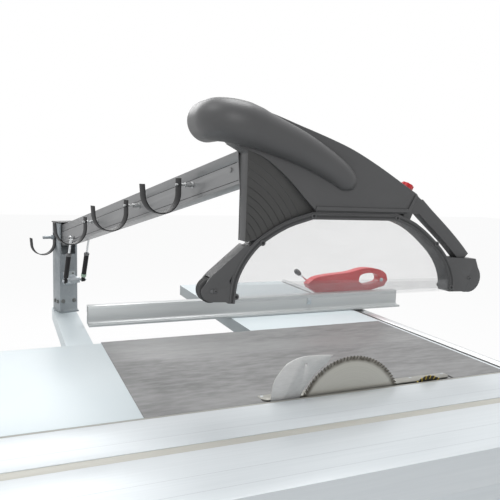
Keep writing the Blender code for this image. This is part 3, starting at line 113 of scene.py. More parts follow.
def pale_for_camera(tree, shader, end, whiten):
    """Mixes plain white into a surface where the camera, a mirror or glass sees it."""
    path = tree.nodes.new("ShaderNodeLightPath").outputs
    direct = add_node(tree, "ShaderNodeMath", {0: path["Is Camera Ray"], 1: path["Is Glossy Ray"]},
                      operation="ADD", use_clamp=True)
    seen = add_node(tree, "ShaderNodeMath", {0: direct.outputs[0], 1: path["Is Transmission Ray"]},
                    operation="ADD", use_clamp=True)
    share = add_node(tree, "ShaderNodeMath", {0: seen.outputs[0], 1: whiten}, operation="MULTIPLY")
    glow = "ShaderNodeBackground" if shader.bl_idname == "ShaderNodeBackground" else "ShaderNodeEmission"
    white = add_node(tree, glow, {"Color": (1, 1, 1, 1)})
    mix = add_node(tree, "ShaderNodeMixShader",
                   {0: share.outputs[0], 1: shader.outputs[0], 2: white.outputs[0]})
    tree.links.new(mix.outputs[0], tree.nodes[end].inputs["Surface"])


world = bpy.data.worlds.new("studio")
world.use_nodes = True
bpy.context.scene.world = world
background = world.node_tree.nodes["Background"]
background.inputs["Color"].default_value = (0.95, 0.97, 1.0, 1)
background.inputs["Strength"].default_value = 0.40
pale_for_camera(world.node_tree, background, "World Output", 1.0)

bpy.ops.object.select_all(action="DESELECT")
bpy.ops.mesh.primitive_plane_add(size=40, location=(0, 0, -0.0005))
floor = bpy.context.object
floor.name = "studio_floor"
floor_paint = bpy.data.materials.new("studio_floor")
floor_paint.use_nodes = True
floor_shader = floor_paint.node_tree.nodes["Principled BSDF"]
floor_shader.inputs["Base Color"].default_value = (0.92, 0.92, 0.92, 1)
floor_shader.inputs["Roughness"].default_value = 0.8
pale_for_camera(floor_paint.node_tree, floor_shader, "Material Output", 0.93)
floor.data.materials.append(floor_paint)


# Cabinet. Welded sheet steel with a satin powder coat, on a black plinth; the coat shows a faint
# orange-peel, and the sheet's folded edges are slightly round.

def shader_group(name, takes, gives):
    """An empty shader group with its named inputs and outputs."""
    group = bpy.data.node_groups.new(name, "ShaderNodeTree")
    for in_out, sockets in (("INPUT", takes), ("OUTPUT", gives)):
        for socket, kind in sockets.items():
            group.interface.new_socket(socket, in_out=in_out, socket_type=f"NodeSocket{kind}")
    return group


def surface_group():
    """Patches, fine grain and relief over a surface, on its own coordinates."""
    group = shader_group("surface", {
        "Color": "Color", "Patch Color": "Color", "Grain Color": "Color", "Stretch": "Vector",
        "Patch Scale": "Float", "Patch Amount": "Float", "Grain Scale": "Float", "Grain Amount": "Float",
        "Roughness": "Float", "Roughness Spread": "Float", "Relief": "Float",
    }, {"Color": "Color", "Roughness": "Float", "Normal": "Vector"})
    given = group.nodes.new("NodeGroupInput").outputs
    place = group.nodes.new("ShaderNodeTexCoord").outputs["Object"]
    stretched = add_node(group, "ShaderNodeVectorMath", {0: place, 1: given["Stretch"]},
                         operation="MULTIPLY").outputs[0]
    colour, spreads = given["Color"], {}
    for label, detail in (("Patch", 3), ("Grain", 6)):
        noise = add_node(group, "ShaderNodeTexNoise", {
            "Vector": stretched, "Scale": given[f"{label} Scale"], "Detail": detail, "Roughness": 0.6,
        })
        spread = add_node(group, "ShaderNodeMapRange", {
            "Value": noise.outputs["Fac"], "From Min": 0.35, "From Max": 0.65,
        }).outputs["Result"]
        share = add_node(group, "ShaderNodeMath", {0: spread, 1: given[f"{label} Amount"]},
                         operation="MULTIPLY")
        mix = add_node(group, "ShaderNodeMix", {
            "Factor": share.outputs[0], "A": colour, "B": given[f"{label} Color"],
        }, data_type="RGBA")
        colour, spreads[label] = mix.outputs["Result"], spread
    rough = add_node(group, "ShaderNodeMath", {
        0: spreads["Patch"], 1: given["Roughness Spread"], 2: given["Roughness"],
    }, operation="MULTIPLY_ADD")
    relief = add_node(group, "ShaderNodeBump", {
        "Strength": 0.5, "Height": spreads["Grain"], "Distance": given["Relief"],
    })
    add_node(group, "NodeGroupOutput", {
        "Color": colour, "Roughness": rough.outputs[0], "Normal": relief.outputs["Normal"],
    })
    return group


def grouped_material(name, group, values, plain):
    """A material fed by a shader group; the plain values go straight to the shader's sockets."""
    made = bpy.data.materials.new(name)
    made.use_nodes = True
    shader = made.node_tree.nodes["Principled BSDF"]
    feed = add_node(made.node_tree, "ShaderNodeGroup", values, node_tree=group)
    for output in feed.outputs:
        socket = "Base Color" if output.name == "Color" else output.name
        made.node_tree.links.new(output, shader.inputs[socket])
    for socket, value in plain.items():
        shader.inputs[socket].default_value = value
    return made


SURFACE = surface_group()
PLAIN_SOCKETS = {"metallic": "Metallic", "alpha": "Alpha", "coat_weight": "Coat Weight",
                 "specular": "Specular IOR Level"}


def finish(name, colour, patch, grain, patches=(3, 0.5), grains=(200, 0.3), rough=(0.4, 0.1),
           relief=0.0001, stretch=(1, 1, 1), **plain):
    """A finish: its colour, its patches and its grain, each with a scale and an amount."""
    return grouped_material(name, SURFACE, {
        "Color": (*colour, 1), "Patch Color": (*patch, 1), "Grain Color": (*grain, 1),
        "Stretch": stretch, "Patch Scale": patches[0], "Patch Amount": patches[1],
        "Grain Scale": grains[0], "Grain Amount": grains[1], "Roughness": rough[0],
        "Roughness Spread": rough[1], "Relief": relief,
    }, {PLAIN_SOCKETS[socket]: value for socket, value in plain.items()})


def only(obj):
    """Selects one object and makes it active."""
    bpy.ops.object.select_all(action="DESELECT")
    obj.select_set(True)
    bpy.context.view_layer.objects.active = obj


@contextmanager
def editing(obj):
    """Edit mode on one piece, with all of it selected, and back."""
    only(obj)
    bpy.ops.object.mode_set(mode="EDIT")
    bpy.ops.mesh.select_all(action="SELECT")
    yield
    bpy.ops.object.mode_set(mode="OBJECT")


def face_outwards():
    """Turns every face of the piece being edited outwards."""
    bpy.ops.mesh.select_all(action="SELECT")
    bpy.ops.mesh.normals_make_consistent(inside=False)


def rounded(obj, width, segments=2, angle=30):
    """Hard edges rounded off."""
    if width:
        edges = obj.modifiers.new("edges", "BEVEL")
        edges.width = width
        edges.segments = segments
        edges.limit_method = "ANGLE"
        edges.angle_limit = radians(angle)
        only(obj)
        bpy.ops.object.modifier_apply(modifier=edges.name)
    only(obj)
    bpy.ops.object.shade_smooth_by_angle(angle=radians(angle))
    return obj


def fit(obj, body, material, slot, *replaced):
    """Puts a finished piece on its body, with its material, in place of CAD nodes."""
    only(obj)
    bpy.ops.object.transform_apply(location=True, rotation=True, scale=True)
    obj.data.materials.clear()
    obj.data.materials.append(material)
    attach(obj, body)
    if replaced:
        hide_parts(*replaced)
    return obj


def softened(node, width, material, segments=2, angle=30):
    """A CAD piece copied, its facets merged to whole faces and its hard edges rounded."""
    source = frame["nodes"][node]
    obj = bpy.data.objects.new(f"{node}_finished", source.data.copy())
    bpy.context.scene.collection.objects.link(obj)
    with editing(obj):
        bpy.ops.mesh.remove_doubles(threshold=0.00002)
        bpy.ops.mesh.dissolve_limited(angle_limit=radians(0.5))
    rounded(obj, width, segments, angle)
    return fit(obj, source["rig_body"], material, node, node)


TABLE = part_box("main_table")[1].z  # height of the table surface
AT_FLOOR = Matrix()
AT_TABLE = Matrix.Translation((0, 0, TABLE))  # pieces on the table are given from its surface upwards


def slab(name, outline, span, axis="y", base=AT_TABLE):
    """A plate: a filled disc whose rim takes the outline, extruded along the axis through its span."""
    lay = {"x": lambda a, b, s: (s, a, b), "y": lambda a, b, s: (a, s, b)}[axis]
    bpy.ops.object.select_all(action="DESELECT")
    bpy.ops.mesh.primitive_circle_add(vertices=len(outline), fill_type="NGON")
    obj = bpy.context.object
    obj.name = name
    for vertex, (a, b) in zip(obj.data.vertices, outline):
        vertex.co = lay(a, b, span[0])
    with editing(obj):
        bpy.ops.mesh.extrude_region_move(TRANSFORM_OT_translate={"value": lay(0, 0, span[1] - span[0])})
        face_outwards()
    obj.data.transform(base)
    return obj


def turned(name, profile, place, direction, sides=32, base=AT_TABLE):
    """A turned piece: a disc extruded ring by ring up its axis, each ring scaled to the profile."""
    bpy.ops.object.select_all(action="DESELECT")
    bpy.ops.mesh.primitive_circle_add(vertices=sides, radius=profile[0][0], fill_type="NGON")
    obj = bpy.context.object
    obj.name = name
    with editing(obj):
        bpy.ops.transform.translate(value=(0, 0, profile[0][1]))
        for (last, below), (radius, height) in zip(profile, profile[1:]):
            bpy.ops.mesh.extrude_region_move(TRANSFORM_OT_translate={"value": (0, 0, height - below)})
            share = radius / last
            bpy.ops.transform.resize(value=(share, share, 1), center_override=(0, 0, height))
        face_outwards()
    turn = Vector(direction).to_track_quat("Z", "Y").to_matrix().to_4x4()
    obj.data.transform(base @ Matrix.Translation(place) @ turn)
    return obj


def joined(obj, *others):
    """One object made of several."""
    only(obj)
    for other in others:
        other.select_set(True)
    bpy.ops.object.join()
    return obj


def fit_set(name, pieces, body, material, slot, width=0, angle=30):
    """Small like pieces joined to one and put on their body."""
    obj = joined(*pieces)
    obj.name = name
    return fit(rounded(obj, width, angle=angle), body, material, slot)


powder_coat = finish("powder_coat", (0.66, 0.725, 0.745), (0.63, 0.70, 0.725), (0.60, 0.67, 0.70),
                     patches=(2.5, 0.6), grains=(900, 0.12), rough=(0.38, 0.08), relief=0.00008)
black_paint = finish("black_paint", (0.011, 0.011, 0.012), (0.016, 0.016, 0.017), (0.03, 0.03, 0.03),
                     patches=(6, 0.5), grains=(500, 0.2), rough=(0.44, 0.12), relief=0.00006,
                     specular=0.3)
zinc_plate = finish("zinc_plate", (0.50, 0.53, 0.55), (0.36, 0.40, 0.43), (0.68, 0.70, 0.72),
                    patches=(40, 0.6), grains=(260, 0.35), rough=(0.26, 0.16), relief=0.00004,
                    metallic=0.8)
softened("plinth", 0.003, black_paint)
softened("cabinet", 0.0015, powder_coat)
low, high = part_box("cabinet")
LOUVRES, LOUVRE_LONG, LOUVRE_PITCH, FIRST_LOUVRE = 9, 0.150, 0.018, 0.180
louvre_start = (low.x + high.x) / 2 + 0.02
for side, y, outward in (("front", low.y, -1), ("back", high.y, 1)):
    slats = []
    for k in range(LOUVRES):
        z = FIRST_LOUVRE + k * LOUVRE_PITCH
        slats.append(slab("slat", [(y, z), (y + outward * 0.005, z + 0.001), (y, z + 0.009)],
                          (louvre_start, louvre_start + LOUVRE_LONG), "x", AT_FLOOR))
    fit_set(f"cabinet_louvres_{side}", slats, "base", powder_coat, "cabinet", 0.0006)
    heads = [turned("screw", [(0.0055, 0), (0.0055, 0.0008), (0.0035, 0.0024)], (x, y, z),
                    (0, outward, 0), 16, AT_FLOOR)
             for x in (low.x + 0.02, high.x - 0.02)
             for z in (low.z + 0.02, (low.z + high.z) / 2, high.z - 0.05)]
    fit_set(f"cabinet_screws_{side}", heads, "base", zinc_plate, "cabinet", 0.0002)


# Door and dust outlet. The door is a folded sheet with a quarter-turn latch, and the outlet is a
# zinc-plated spigot screwed to the cabinet.

softened("service_door", 0.0015, powder_coat)
softened("dust_outlet", 0.0008, zinc_plate)


# Controls. A moulded panel under the table carries a green start button and a red mushroom, with the
# two handwheels below it. All of them are plastic.

dark_plastic = finish("dark_plastic", (0.078, 0.078, 0.079), (0.068, 0.068, 0.069), (0.094, 0.095, 0.097),
                      patches=(5, 0.5), grains=(1400, 0.25), rough=(0.40, 0.06), relief=0.00004)
softened("control_panel", 0.004, dark_plastic, 3)
BUTTON = {"patches": (40, 0.5), "grains": (900, 0.2), "rough": (0.28, 0.08), "relief": 0.00002}
green_button = finish("green_button", (0.012, 0.30, 0.06), (0.01, 0.26, 0.05), (0.03, 0.36, 0.10), **BUTTON)
red_button = finish("red_button", (0.50, 0.006, 0.010), (0.42, 0.005, 0.008), (0.58, 0.03, 0.03), **BUTTON)
softened("start_button", 0.0015, green_button)
softened("stop_button", 0.0015, red_button)
softened("height_handwheel", 0.0012, dark_plastic)
softened("tilt_handwheel", 0.0012, dark_plastic)


# Tables. The middle one is ground cast iron with a steel mouthpiece round the blade. The two others
# are folded sheet steel, coated like the cabinet, with painted shade on their turned-down edges as a
# darker copy of the coat, and a welded brace holds them up.

ground_iron = finish("ground_iron", (0.212, 0.212, 0.212), (0.126, 0.126, 0.126), (0.31, 0.31, 0.31),
                     patches=(3.0, 0.85), grains=(34, 0.5), rough=(0.42, 0.14), relief=0.00005,
                     stretch=(0.55, 1.9, 1.6), metallic=0.3)
softened("main_table", 0.0008, ground_iron)
mouth_steel = finish("mouth_steel", (0.30, 0.295, 0.265), (0.17, 0.165, 0.14), (0.42, 0.42, 0.40),
                     patches=(9, 0.7), grains=(60, 0.4), rough=(0.34, 0.14), relief=0.00003,
                     stretch=(0.5, 2, 2), metallic=0.5)
softened("table_insert", 0.0006, mouth_steel)
low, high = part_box("table_insert")
screw_row = (low.y + high.y) / 2 + 0.010
screws = [turned("screw", [(0.0042, 0), (0.0042, 0.0002), (0.0034, 0.0005)], (x, screw_row, high.z),
                 (0, 0, 1), 20, AT_FLOOR)
          for x in (low.x + 0.010, low.x + 0.20, high.x - 0.12, high.x - 0.010)]
fit_set("mouth_screws", screws, "base", zinc_plate, "table_insert")
# The turned-down edges of the two sheet tables get a darker copy of the coat, chosen by face direction: this
# is painted shade, not another paint.
FOLD_SHADE_NORMAL = 0.35  # a face that points less than this upwards or downwards is part of the fold
fold_shade_coat = finish("fold_shade_coat", (0.31, 0.345, 0.357), (0.285, 0.318, 0.330), (0.36, 0.395, 0.41),
                   patches=(2.5, 0.6), grains=(900, 0.12), rough=(0.42, 0.08), relief=0.00008)
for node in ("rear_extension_table", "right_extension_table"):
    sheet = softened(node, 0.0014, powder_coat, 3)
    sheet.data.materials.append(fold_shade_coat)
    for face in sheet.data.polygons:
        face.material_index = int(abs(face.normal.z) < FOLD_SHADE_NORMAL)
softened("extension_brace", 0.0010, powder_coat)


# Sliding table. An anodised extrusion runs on a hollow beam. It carries a grey wear strip along the
# blade, fine drawing lines along its length, and a beige strip down in its clamping groove.

low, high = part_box("sliding_table")
SLIDE_RUN = (low.x + 0.001, high.x - 0.001)


def slide_strip(name, y, z):
    """A strip along the whole sliding table, given across it and from its surface upwards."""
    return slab(name, [(y[0], TABLE + z[0]), (y[1], TABLE + z[0]), (y[1], TABLE + z[1]),
                       (y[0], TABLE + z[1])], SLIDE_RUN, "x", AT_FLOOR)


anodised = finish("anodised", (0.655, 0.695, 0.715), (0.61, 0.65, 0.67), (0.72, 0.755, 0.775),
                  patches=(3, 0.5), grains=(70, 0.4), rough=(0.32, 0.08), relief=0.00002,
                  stretch=(0.05, 2, 2), metallic=0.15)
softened("sliding_table", 0.0007, anodised)
STRIP = {"patches": (6, 0.6), "grains": (90, 0.4), "rough": (0.5, 0.1), "relief": 0.00004,
         "stretch": (0.1, 2, 2)}
wear_grey = finish("wear_grey", (0.36, 0.355, 0.325), (0.30, 0.295, 0.27), (0.46, 0.455, 0.43), **STRIP)
strip = slide_strip("slide_wear_strip", (high.y - 0.0075, high.y - 0.0005), (-0.0006, 0.0003))
fit(rounded(strip, 0.0002), "slide", wear_grey, "sliding_table")
line_grey = finish("line_grey", (0.52, 0.55, 0.57), (0.48, 0.51, 0.53), (0.58, 0.61, 0.63),
                   patches=(8, 0.4), grains=(90, 0.3), rough=(0.4, 0.1), relief=0.00002,
                   stretch=(0.1, 2, 2), metallic=0.2)
lines = [slide_strip("line", (y, y + 0.0011), (-0.0002, 0.0001))
         for y in (high.y - 0.108, low.y + 0.040, low.y + 0.095)]
fit_set("slide_drawn_lines", lines, "slide", line_grey, "sliding_table")
groove_beige = finish("groove_beige", (0.50, 0.49, 0.44), (0.44, 0.43, 0.38), (0.58, 0.57, 0.52), **STRIP)
GROOVE_ACROSS, GROOVE_BED = (-0.1938, -0.1652), (-0.0038, -0.0014)
strip = slide_strip("slide_groove_bed", GROOVE_ACROSS, GROOVE_BED)
fit(rounded(strip, 0.0003), "slide", groove_beige, "sliding_table")
softened("slide_beam", 0.0010, anodised)
softened("beam_bracket", 0.0010, powder_coat)


# Saw unit. Cast trunnions and a cast frame carry the motor, the belt and the arbor; its castings are
# left rough and painted, its shafts are turned steel.

cast_iron = finish("cast_iron", (0.12, 0.13, 0.14), (0.09, 0.10, 0.11), (0.18, 0.19, 0.20),
                   patches=(8, 0.6), grains=(260, 0.5), rough=(0.55, 0.15), relief=0.0003, metallic=0.3)
for node in ("front_trunnion", "rear_trunnion", "tilt_frame", "arbor_housing"):
    softened(node, 0.0012, cast_iron)
motor_paint = finish("motor_paint", (0.16, 0.20, 0.24), (0.14, 0.18, 0.22), (0.20, 0.24, 0.28),
                     patches=(7, 0.5), grains=(300, 0.3), rough=(0.40, 0.1), relief=0.0001)
softened("main_motor", 0.003, motor_paint)
softened("scoring_motor", 0.002, motor_paint)
turned_steel = finish("turned_steel", (0.50, 0.50, 0.49), (0.42, 0.42, 0.41), (0.62, 0.62, 0.61),
                      patches=(30, 0.5), grains=(240, 0.4), rough=(0.24, 0.1), relief=0.00002,
                      metallic=0.95)
for node in ("arbor_shaft", "motor_pulley", "scoring_shaft", "tie_rod"):
    softened(node, 0.0006, turned_steel)
softened("arbor_nut", 0.0008, black_paint)
rubber = finish("rubber", (0.030, 0.030, 0.031), (0.04, 0.04, 0.041), (0.06, 0.06, 0.06),
                patches=(14, 0.5), grains=(600, 0.4), rough=(0.62, 0.1), relief=0.00012)
softened("drive_belt", 0.0004, rubber)


# Blades. A tensioned steel disc with ground faces and brazed carbide teeth; resin has browned it near
# the rim. The scoring blade ahead of it is smaller, with brass-coloured teeth.

def ring_group():
    """Fine turning rings round a disc's axis, and a stain that grows towards its rim."""
    group = shader_group("rings", {
        "Color": "Color", "Ring Color": "Color", "Stain": "Color", "Centre": "Vector",
        "Stain From": "Float", "Stain To": "Float",
    }, {"Color": "Color", "Roughness": "Float"})
    given = group.nodes.new("NodeGroupInput").outputs
    place = group.nodes.new("ShaderNodeTexCoord").outputs["Object"]
    away = add_node(group, "ShaderNodeVectorMath", {0: place, 1: given["Centre"]}, operation="SUBTRACT")
    reach = add_node(group, "ShaderNodeVectorMath", {0: away.outputs[0]},
                     operation="LENGTH").outputs["Value"]
    rings = add_node(group, "ShaderNodeTexNoise", {"W": reach, "Scale": 420, "Detail": 4},
                     noise_dimensions="1D")
    ringed = add_node(group, "ShaderNodeMix", {
        "Factor": rings.outputs["Fac"], "A": given["Color"], "B": given["Ring Color"],
    }, data_type="RGBA")
    blotch = add_node(group, "ShaderNodeTexNoise", {"Vector": place, "Scale": 55, "Detail": 5})
    patchy = add_node(group, "ShaderNodeMapRange", {
        "Value": blotch.outputs["Fac"], "From Min": 0.3, "From Max": 0.7, "To Min": 0.55,
    })
    near_rim = add_node(group, "ShaderNodeMapRange", {
        "Value": reach, "From Min": given["Stain From"], "From Max": given["Stain To"],
    })
    share = add_node(group, "ShaderNodeMath", {
        0: near_rim.outputs["Result"], 1: patchy.outputs["Result"],
    }, operation="MULTIPLY", use_clamp=True).outputs[0]
    stained = add_node(group, "ShaderNodeMix", {
        "Factor": share, "A": ringed.outputs["Result"], "B": given["Stain"],
    }, data_type="RGBA")
    dull = add_node(group, "ShaderNodeMapRange", {"Value": share, "To Min": 0.30, "To Max": 0.55})
    add_node(group, "NodeGroupOutput", {
        "Color": stained.outputs["Result"], "Roughness": dull.outputs["Result"],
    })
    return group


RINGS = ring_group()


def disc_steel(name, colour, ring, stain, centre, stained):
    """Ground steel with turning rings, stained between two distances from the centre."""
    return grouped_material(name, RINGS, {
        "Color": (*colour, 1), "Ring Color": (*ring, 1), "Stain": (*stain, 1), "Centre": centre,
        "Stain From": stained[0], "Stain To": stained[1],
    }, {"Metallic": 0.55})


def cut(obj, *tools, operation="DIFFERENCE"):
    """Takes the tools out of a piece, or welds them on with UNION."""
    for tool in tools:
        change = obj.modifiers.new("cut", "BOOLEAN")
        change.operation = operation
        change.solver = "EXACT"
        change.object = tool
        only(obj)
        bpy.ops.object.modifier_apply(modifier=change.name)
        bpy.data.objects.remove(tool)
    return obj


def round_rim(turn):
    """Outward and clockwise directions at an angle round a blade."""
    return Vector((sin(turn), 0, cos(turn))), Vector((cos(turn), 0, -sin(turn)))


def toothed_disc(name, centre, radius, teeth, thick, slots):
    """The disc with a gullet ahead of each tooth, and expansion slots in from the rim."""
    outline = []
    for k in range(teeth):
        turn = 2 * pi * k / teeth
        step = 2 * pi / teeth
        for share, depth in ((0.0, 0.0), (0.20, 0.002), (0.26, 0.036), (0.46, 0.044), (0.72, 0.020)):
            reach = radius * (1 - 0.008 - depth)
            outline.append((centre.x + reach * sin(turn + step * share),
                            centre.z + reach * cos(turn + step * share)))
    disc = slab(name, outline, (-thick / 2, thick / 2), base=AT_FLOOR)
    for k in range(slots):
        out, side = round_rim(2 * pi * (k + 0.62) / slots)
        start, end, half = centre + out * radius * 0.87, centre + out * radius * 1.02, side * 0.0006
        corners = [start - half, end - half, end + half, start + half]
        cut(disc, slab("slot", [(c.x, c.z) for c in corners], (-0.01, 0.01), base=AT_FLOOR))
    return disc


def carbide_teeth(name, centre, radius, teeth, wide, tip):
    """Equal teeth set round the rim."""
    copies = []
    for k in range(teeth):
        out, side = round_rim(2 * pi * k / teeth)
        foot, point = centre + out * (radius - tip), centre + out * radius
        corners = [foot, point + side * tip * 0.50, point + side * tip * 0.78 - out * 0.0006,
                   foot + side * tip * 0.38]
        copies.append(slab("tooth", [(c.x, c.z) for c in corners], (-wide / 2, wide / 2), base=AT_FLOOR))
    made = joined(*copies)
    made.name = name
    return made


def disc_place(node):
    """Centre and radius of a packed disc that stands across the saw."""
    low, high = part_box(node)
    return Vector(((low.x + high.x) / 2, 0, (low.z + high.z) / 2)), (high.x - low.x) / 2


BLADE_TEETH, SCORING_TEETH = 96, 24
centre, radius = disc_place("main_blade")
blade_steel = disc_steel("blade_steel", (0.60, 0.58, 0.525), (0.47, 0.455, 0.41), (0.085, 0.072, 0.055),
                         centre, (radius * 0.885, radius * 0.935))
disc = rounded(toothed_disc("main_blade_disc", centre, radius, BLADE_TEETH, 0.0024, 4), 0)
bore_room = turned("room", [(0.030, -0.003), (0.030, 0.003)], centre, (0, 1, 0), 32, AT_FLOOR)
fit(cut(disc, bore_room), "arbor", blade_steel, "main_blade", "main_blade")
TIPS = {"patches": (60, 0.5), "grains": (300, 0.3), "rough": (0.30, 0.1), "relief": 0.00001, "metallic": 0.6}
carbide = finish("carbide", (0.085, 0.078, 0.066), (0.060, 0.055, 0.045), (0.17, 0.16, 0.14), **TIPS)
teeth = carbide_teeth("main_blade_teeth", centre, radius, BLADE_TEETH, 0.0032, 0.0085)
fit(teeth, "arbor", carbide, "main_blade")
centre, radius = disc_place("scoring_blade")
scoring_steel = disc_steel("scoring_steel", (0.07, 0.065, 0.055), (0.04, 0.04, 0.035),
                           (0.05, 0.04, 0.025), centre, (radius * 0.6, radius))
disc = toothed_disc("scoring_blade_disc", centre, radius, SCORING_TEETH, 0.0022, 0)
bore_room = turned("room", [(0.012, -0.003), (0.012, 0.003)], centre, (0, 1, 0), 32, AT_FLOOR)
fit(rounded(cut(disc, bore_room), 0), "scoring_spindle", scoring_steel, "scoring_blade", "scoring_blade")
brass = finish("brass", (0.58, 0.42, 0.06), (0.42, 0.30, 0.04), (0.70, 0.55, 0.14), **TIPS)
teeth = carbide_teeth("scoring_teeth", centre, radius, SCORING_TEETH, 0.0030, 0.0095)
fit(teeth, "scoring_spindle", brass, "scoring_blade")


# Riving knife. A plain steel plate with a satin face stands behind the blade, and two black screws
# clamp it low down to the saw unit.

knife_steel = finish("knife_steel", (0.56, 0.56, 0.555), (0.49, 0.49, 0.485), (0.66, 0.66, 0.65),
                     patches=(16, 0.6), grains=(60, 0.4), rough=(0.42, 0.1), relief=0.00002,
                     stretch=(1, 1, 4), metallic=0.6)
softened("riving_knife", 0.0003, knife_steel)
knife_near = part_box("riving_knife")[0].y
heads = [turned("screw", [(0.006, 0), (0.006, 0.002), (0.0035, 0.0038)], (x, knife_near, z), (0, -1, 0), 20)
         for x, z in ((-0.190, -0.112), (-0.186, -0.085))]
fit_set("knife_screws", heads, "arbor_unit", black_paint, "riving_knife", 0.0003)


# Rip fence. A ground round rail on an aluminium strip, with a black strip of painted shade in the gap,
# carries a red cast slide on a black saddle. The slide clamps a hollow aluminium fence, plugged at its
# ends, with a cam lever.

def block(name, x, y, z, base=AT_TABLE):
    """A box, given by its two ends on each axis."""
    return slab(name, [(x[0], z[0]), (x[1], z[0]), (x[1], z[1]), (x[0], z[1])], y, base=base)


def bar_along(name, line, radius, radii=None, sides=12, base=AT_TABLE):
    """A round bar along a line, from a curve with a bevel made a mesh."""
    data = bpy.data.curves.new(name, "CURVE")
    data.dimensions = "3D"
    spline = data.splines.new("POLY")
    spline.points.add(len(line) - 1)
    for k, place in enumerate(line):
        spline.points[k].co = (*place, 1)
        spline.points[k].radius = radii[k] / radius if radii else 1
    data.bevel_depth = radius
    data.bevel_resolution = sides // 2 - 2
    data.use_fill_caps = True
    obj = bpy.data.objects.new(name, data)
    bpy.context.scene.collection.objects.link(obj)
    only(obj)
    bpy.ops.object.convert(target="MESH")
    obj = bpy.context.object
    obj.data.transform(base)
    with editing(obj):
        bpy.ops.mesh.remove_doubles(threshold=0.00001)
        bpy.ops.mesh.normals_make_consistent(inside=False)
    return obj


def bolt(name, place, direction, size, base=AT_TABLE, washer=True):
    """A hexagon bolt head with a chamfered crown, on its washer; size is the head's radius."""
    rise = size * 0.14 if washer else 0
    head = turned(name, [(size * 0.96, rise), (size, rise + size * 0.05), (size, rise + size * 0.62),
                         (size * 0.86, rise + size * 0.74)], place, direction, 6, base)
    if not washer:
        return head
    disc = turned("washer", [(size * 1.35, 0), (size * 1.35, rise), (size * 1.25, rise * 1.2)],
                  place, direction, 24, base)
    return joined(head, disc)


softened("rail_mount", 0.0008, anodised)
chrome = finish("chrome", (0.74, 0.75, 0.76), (0.68, 0.69, 0.70), (0.80, 0.81, 0.82), patches=(20, 0.3),
                grains=(300, 0.2), rough=(0.14, 0.05), relief=0.00001, metallic=1.0)
ground_bar = finish("ground_bar", (0.66, 0.67, 0.675), (0.60, 0.61, 0.615), (0.72, 0.73, 0.735),
                    patches=(20, 0.4), grains=(200, 0.2), rough=(0.34, 0.06), relief=0.000004,
                    stretch=(1, 0.3, 1), metallic=0.7)
softened("rip_rail", 0.0010, ground_bar)
RAIL_GAP, RAIL_RUN = (0.5356, 0.5515), (0.002, 1.538)
# A black strip laid low in the gap between the strip and the rail is painted shade, not a rubber seal.
shade_strip = block("rail_gap_shade", RAIL_GAP, RAIL_RUN, (-0.0300, -0.0036))
fit(rounded(shade_strip, 0.0004), "base", rubber, "rail_mount")
fence_aluminium = finish("fence_aluminium", (0.53, 0.55, 0.55), (0.48, 0.50, 0.50), (0.60, 0.62, 0.62),
                         patches=(3, 0.5), grains=(70, 0.3), rough=(0.30, 0.08), relief=0.00002,
                         stretch=(0.05, 2, 2), metallic=0.3)
softened("fence_profile", 0.0006, fence_aluminium)
low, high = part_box("fence_profile")
LEFT_END, RIGHT_END = (low.x + 0.0008, low.x + 0.006), (high.x - 0.006, high.x - 0.0008)
PLUG_DEEP, PLUG_HIGH = (0.8483, 0.8605), (0.0048, 0.0668)
plugs = [block("end", LEFT_END, PLUG_DEEP, PLUG_HIGH),
         block("end", LEFT_END, (0.8645, 0.8765), (0.0290, 0.0420)),
         block("end", RIGHT_END, PLUG_DEEP, PLUG_HIGH)]
fit_set("fence_end_plugs", plugs, "rip_fence", rubber, "fence_profile", 0.0003)
FENCE_FACE = 0.845
lines = [block("line", (low.x + 0.001, high.x - 0.001), (FENCE_FACE - 0.0003, FENCE_FACE + 0.0005),
               (z, z + 0.0010)) for z in (0.0245, 0.0300, 0.0585)]
fit_set("fence_drawn_lines", lines, "rip_fence", line_grey, "fence_profile")
CLIP_FRONT = 0.8405
clip = rounded(block("fence_clip", (0.3215, 0.3405), (CLIP_FRONT, 0.8448), (0.030, 0.058)), 0.0012)
clip_bolt = bolt("bolt", (0.331, CLIP_FRONT, 0.045), (0, -1, 0), 0.0052, washer=False)
fit(joined(clip, clip_bolt), "rip_fence", zinc_plate, "fence_profile")
red_enamel = finish("red_enamel", (0.66, 0.018, 0.026), (0.58, 0.012, 0.020), (0.72, 0.05, 0.05),
                    patches=(9, 0.5), grains=(220, 0.25), rough=(0.30, 0.1), relief=0.0001,
                    coat_weight=0.2)
SADDLE_TOP = TABLE + 0.003
carrier = softened("fence_carrier", 0.005, red_enamel, 4)
carrier.data.materials.append(black_paint)
with editing(carrier):
    bpy.ops.mesh.bisect(plane_co=(0, 0, SADDLE_TOP), plane_no=(0, 0, 1))
for face in carrier.data.polygons:
    face.material_index = int(face.center.z < SADDLE_TOP)
grip_bolt = turned("grip_bolt", [(0.0085, 0), (0.0090, 0.0010), (0.0085, 0.0035), (0.0045, 0.0052)],
                   (0.7080, 0.8803, 0.1130), (0, -1, 0), 24)
fit(rounded(grip_bolt, 0.0003), "rip_carrier", zinc_plate, "fence_carrier")
LEVER_PIVOT, LEVER_TIP = Vector((0.372, 0.9203, 0.106)), Vector((0.311, 0.9203, 0.155))
along = (LEVER_TIP - LEVER_PIVOT).normalized()
arm_y = Vector((0, 0.0055, 0))
stem = bar_along("stem", [LEVER_PIVOT + arm_y, LEVER_TIP + arm_y - along * 0.012], 0.0042)
hub = turned("hub", [(0.0095, 0.0006), (0.0110, 0.0018), (0.0110, 0.0088), (0.0095, 0.0100)],
             LEVER_PIVOT, (0, 1, 0), 28)
lever = fit(rounded(joined(stem, hub), 0), "clamp_lever", chrome, "fence_lever", "fence_lever")
lever.name = "clamp_lever_stem"
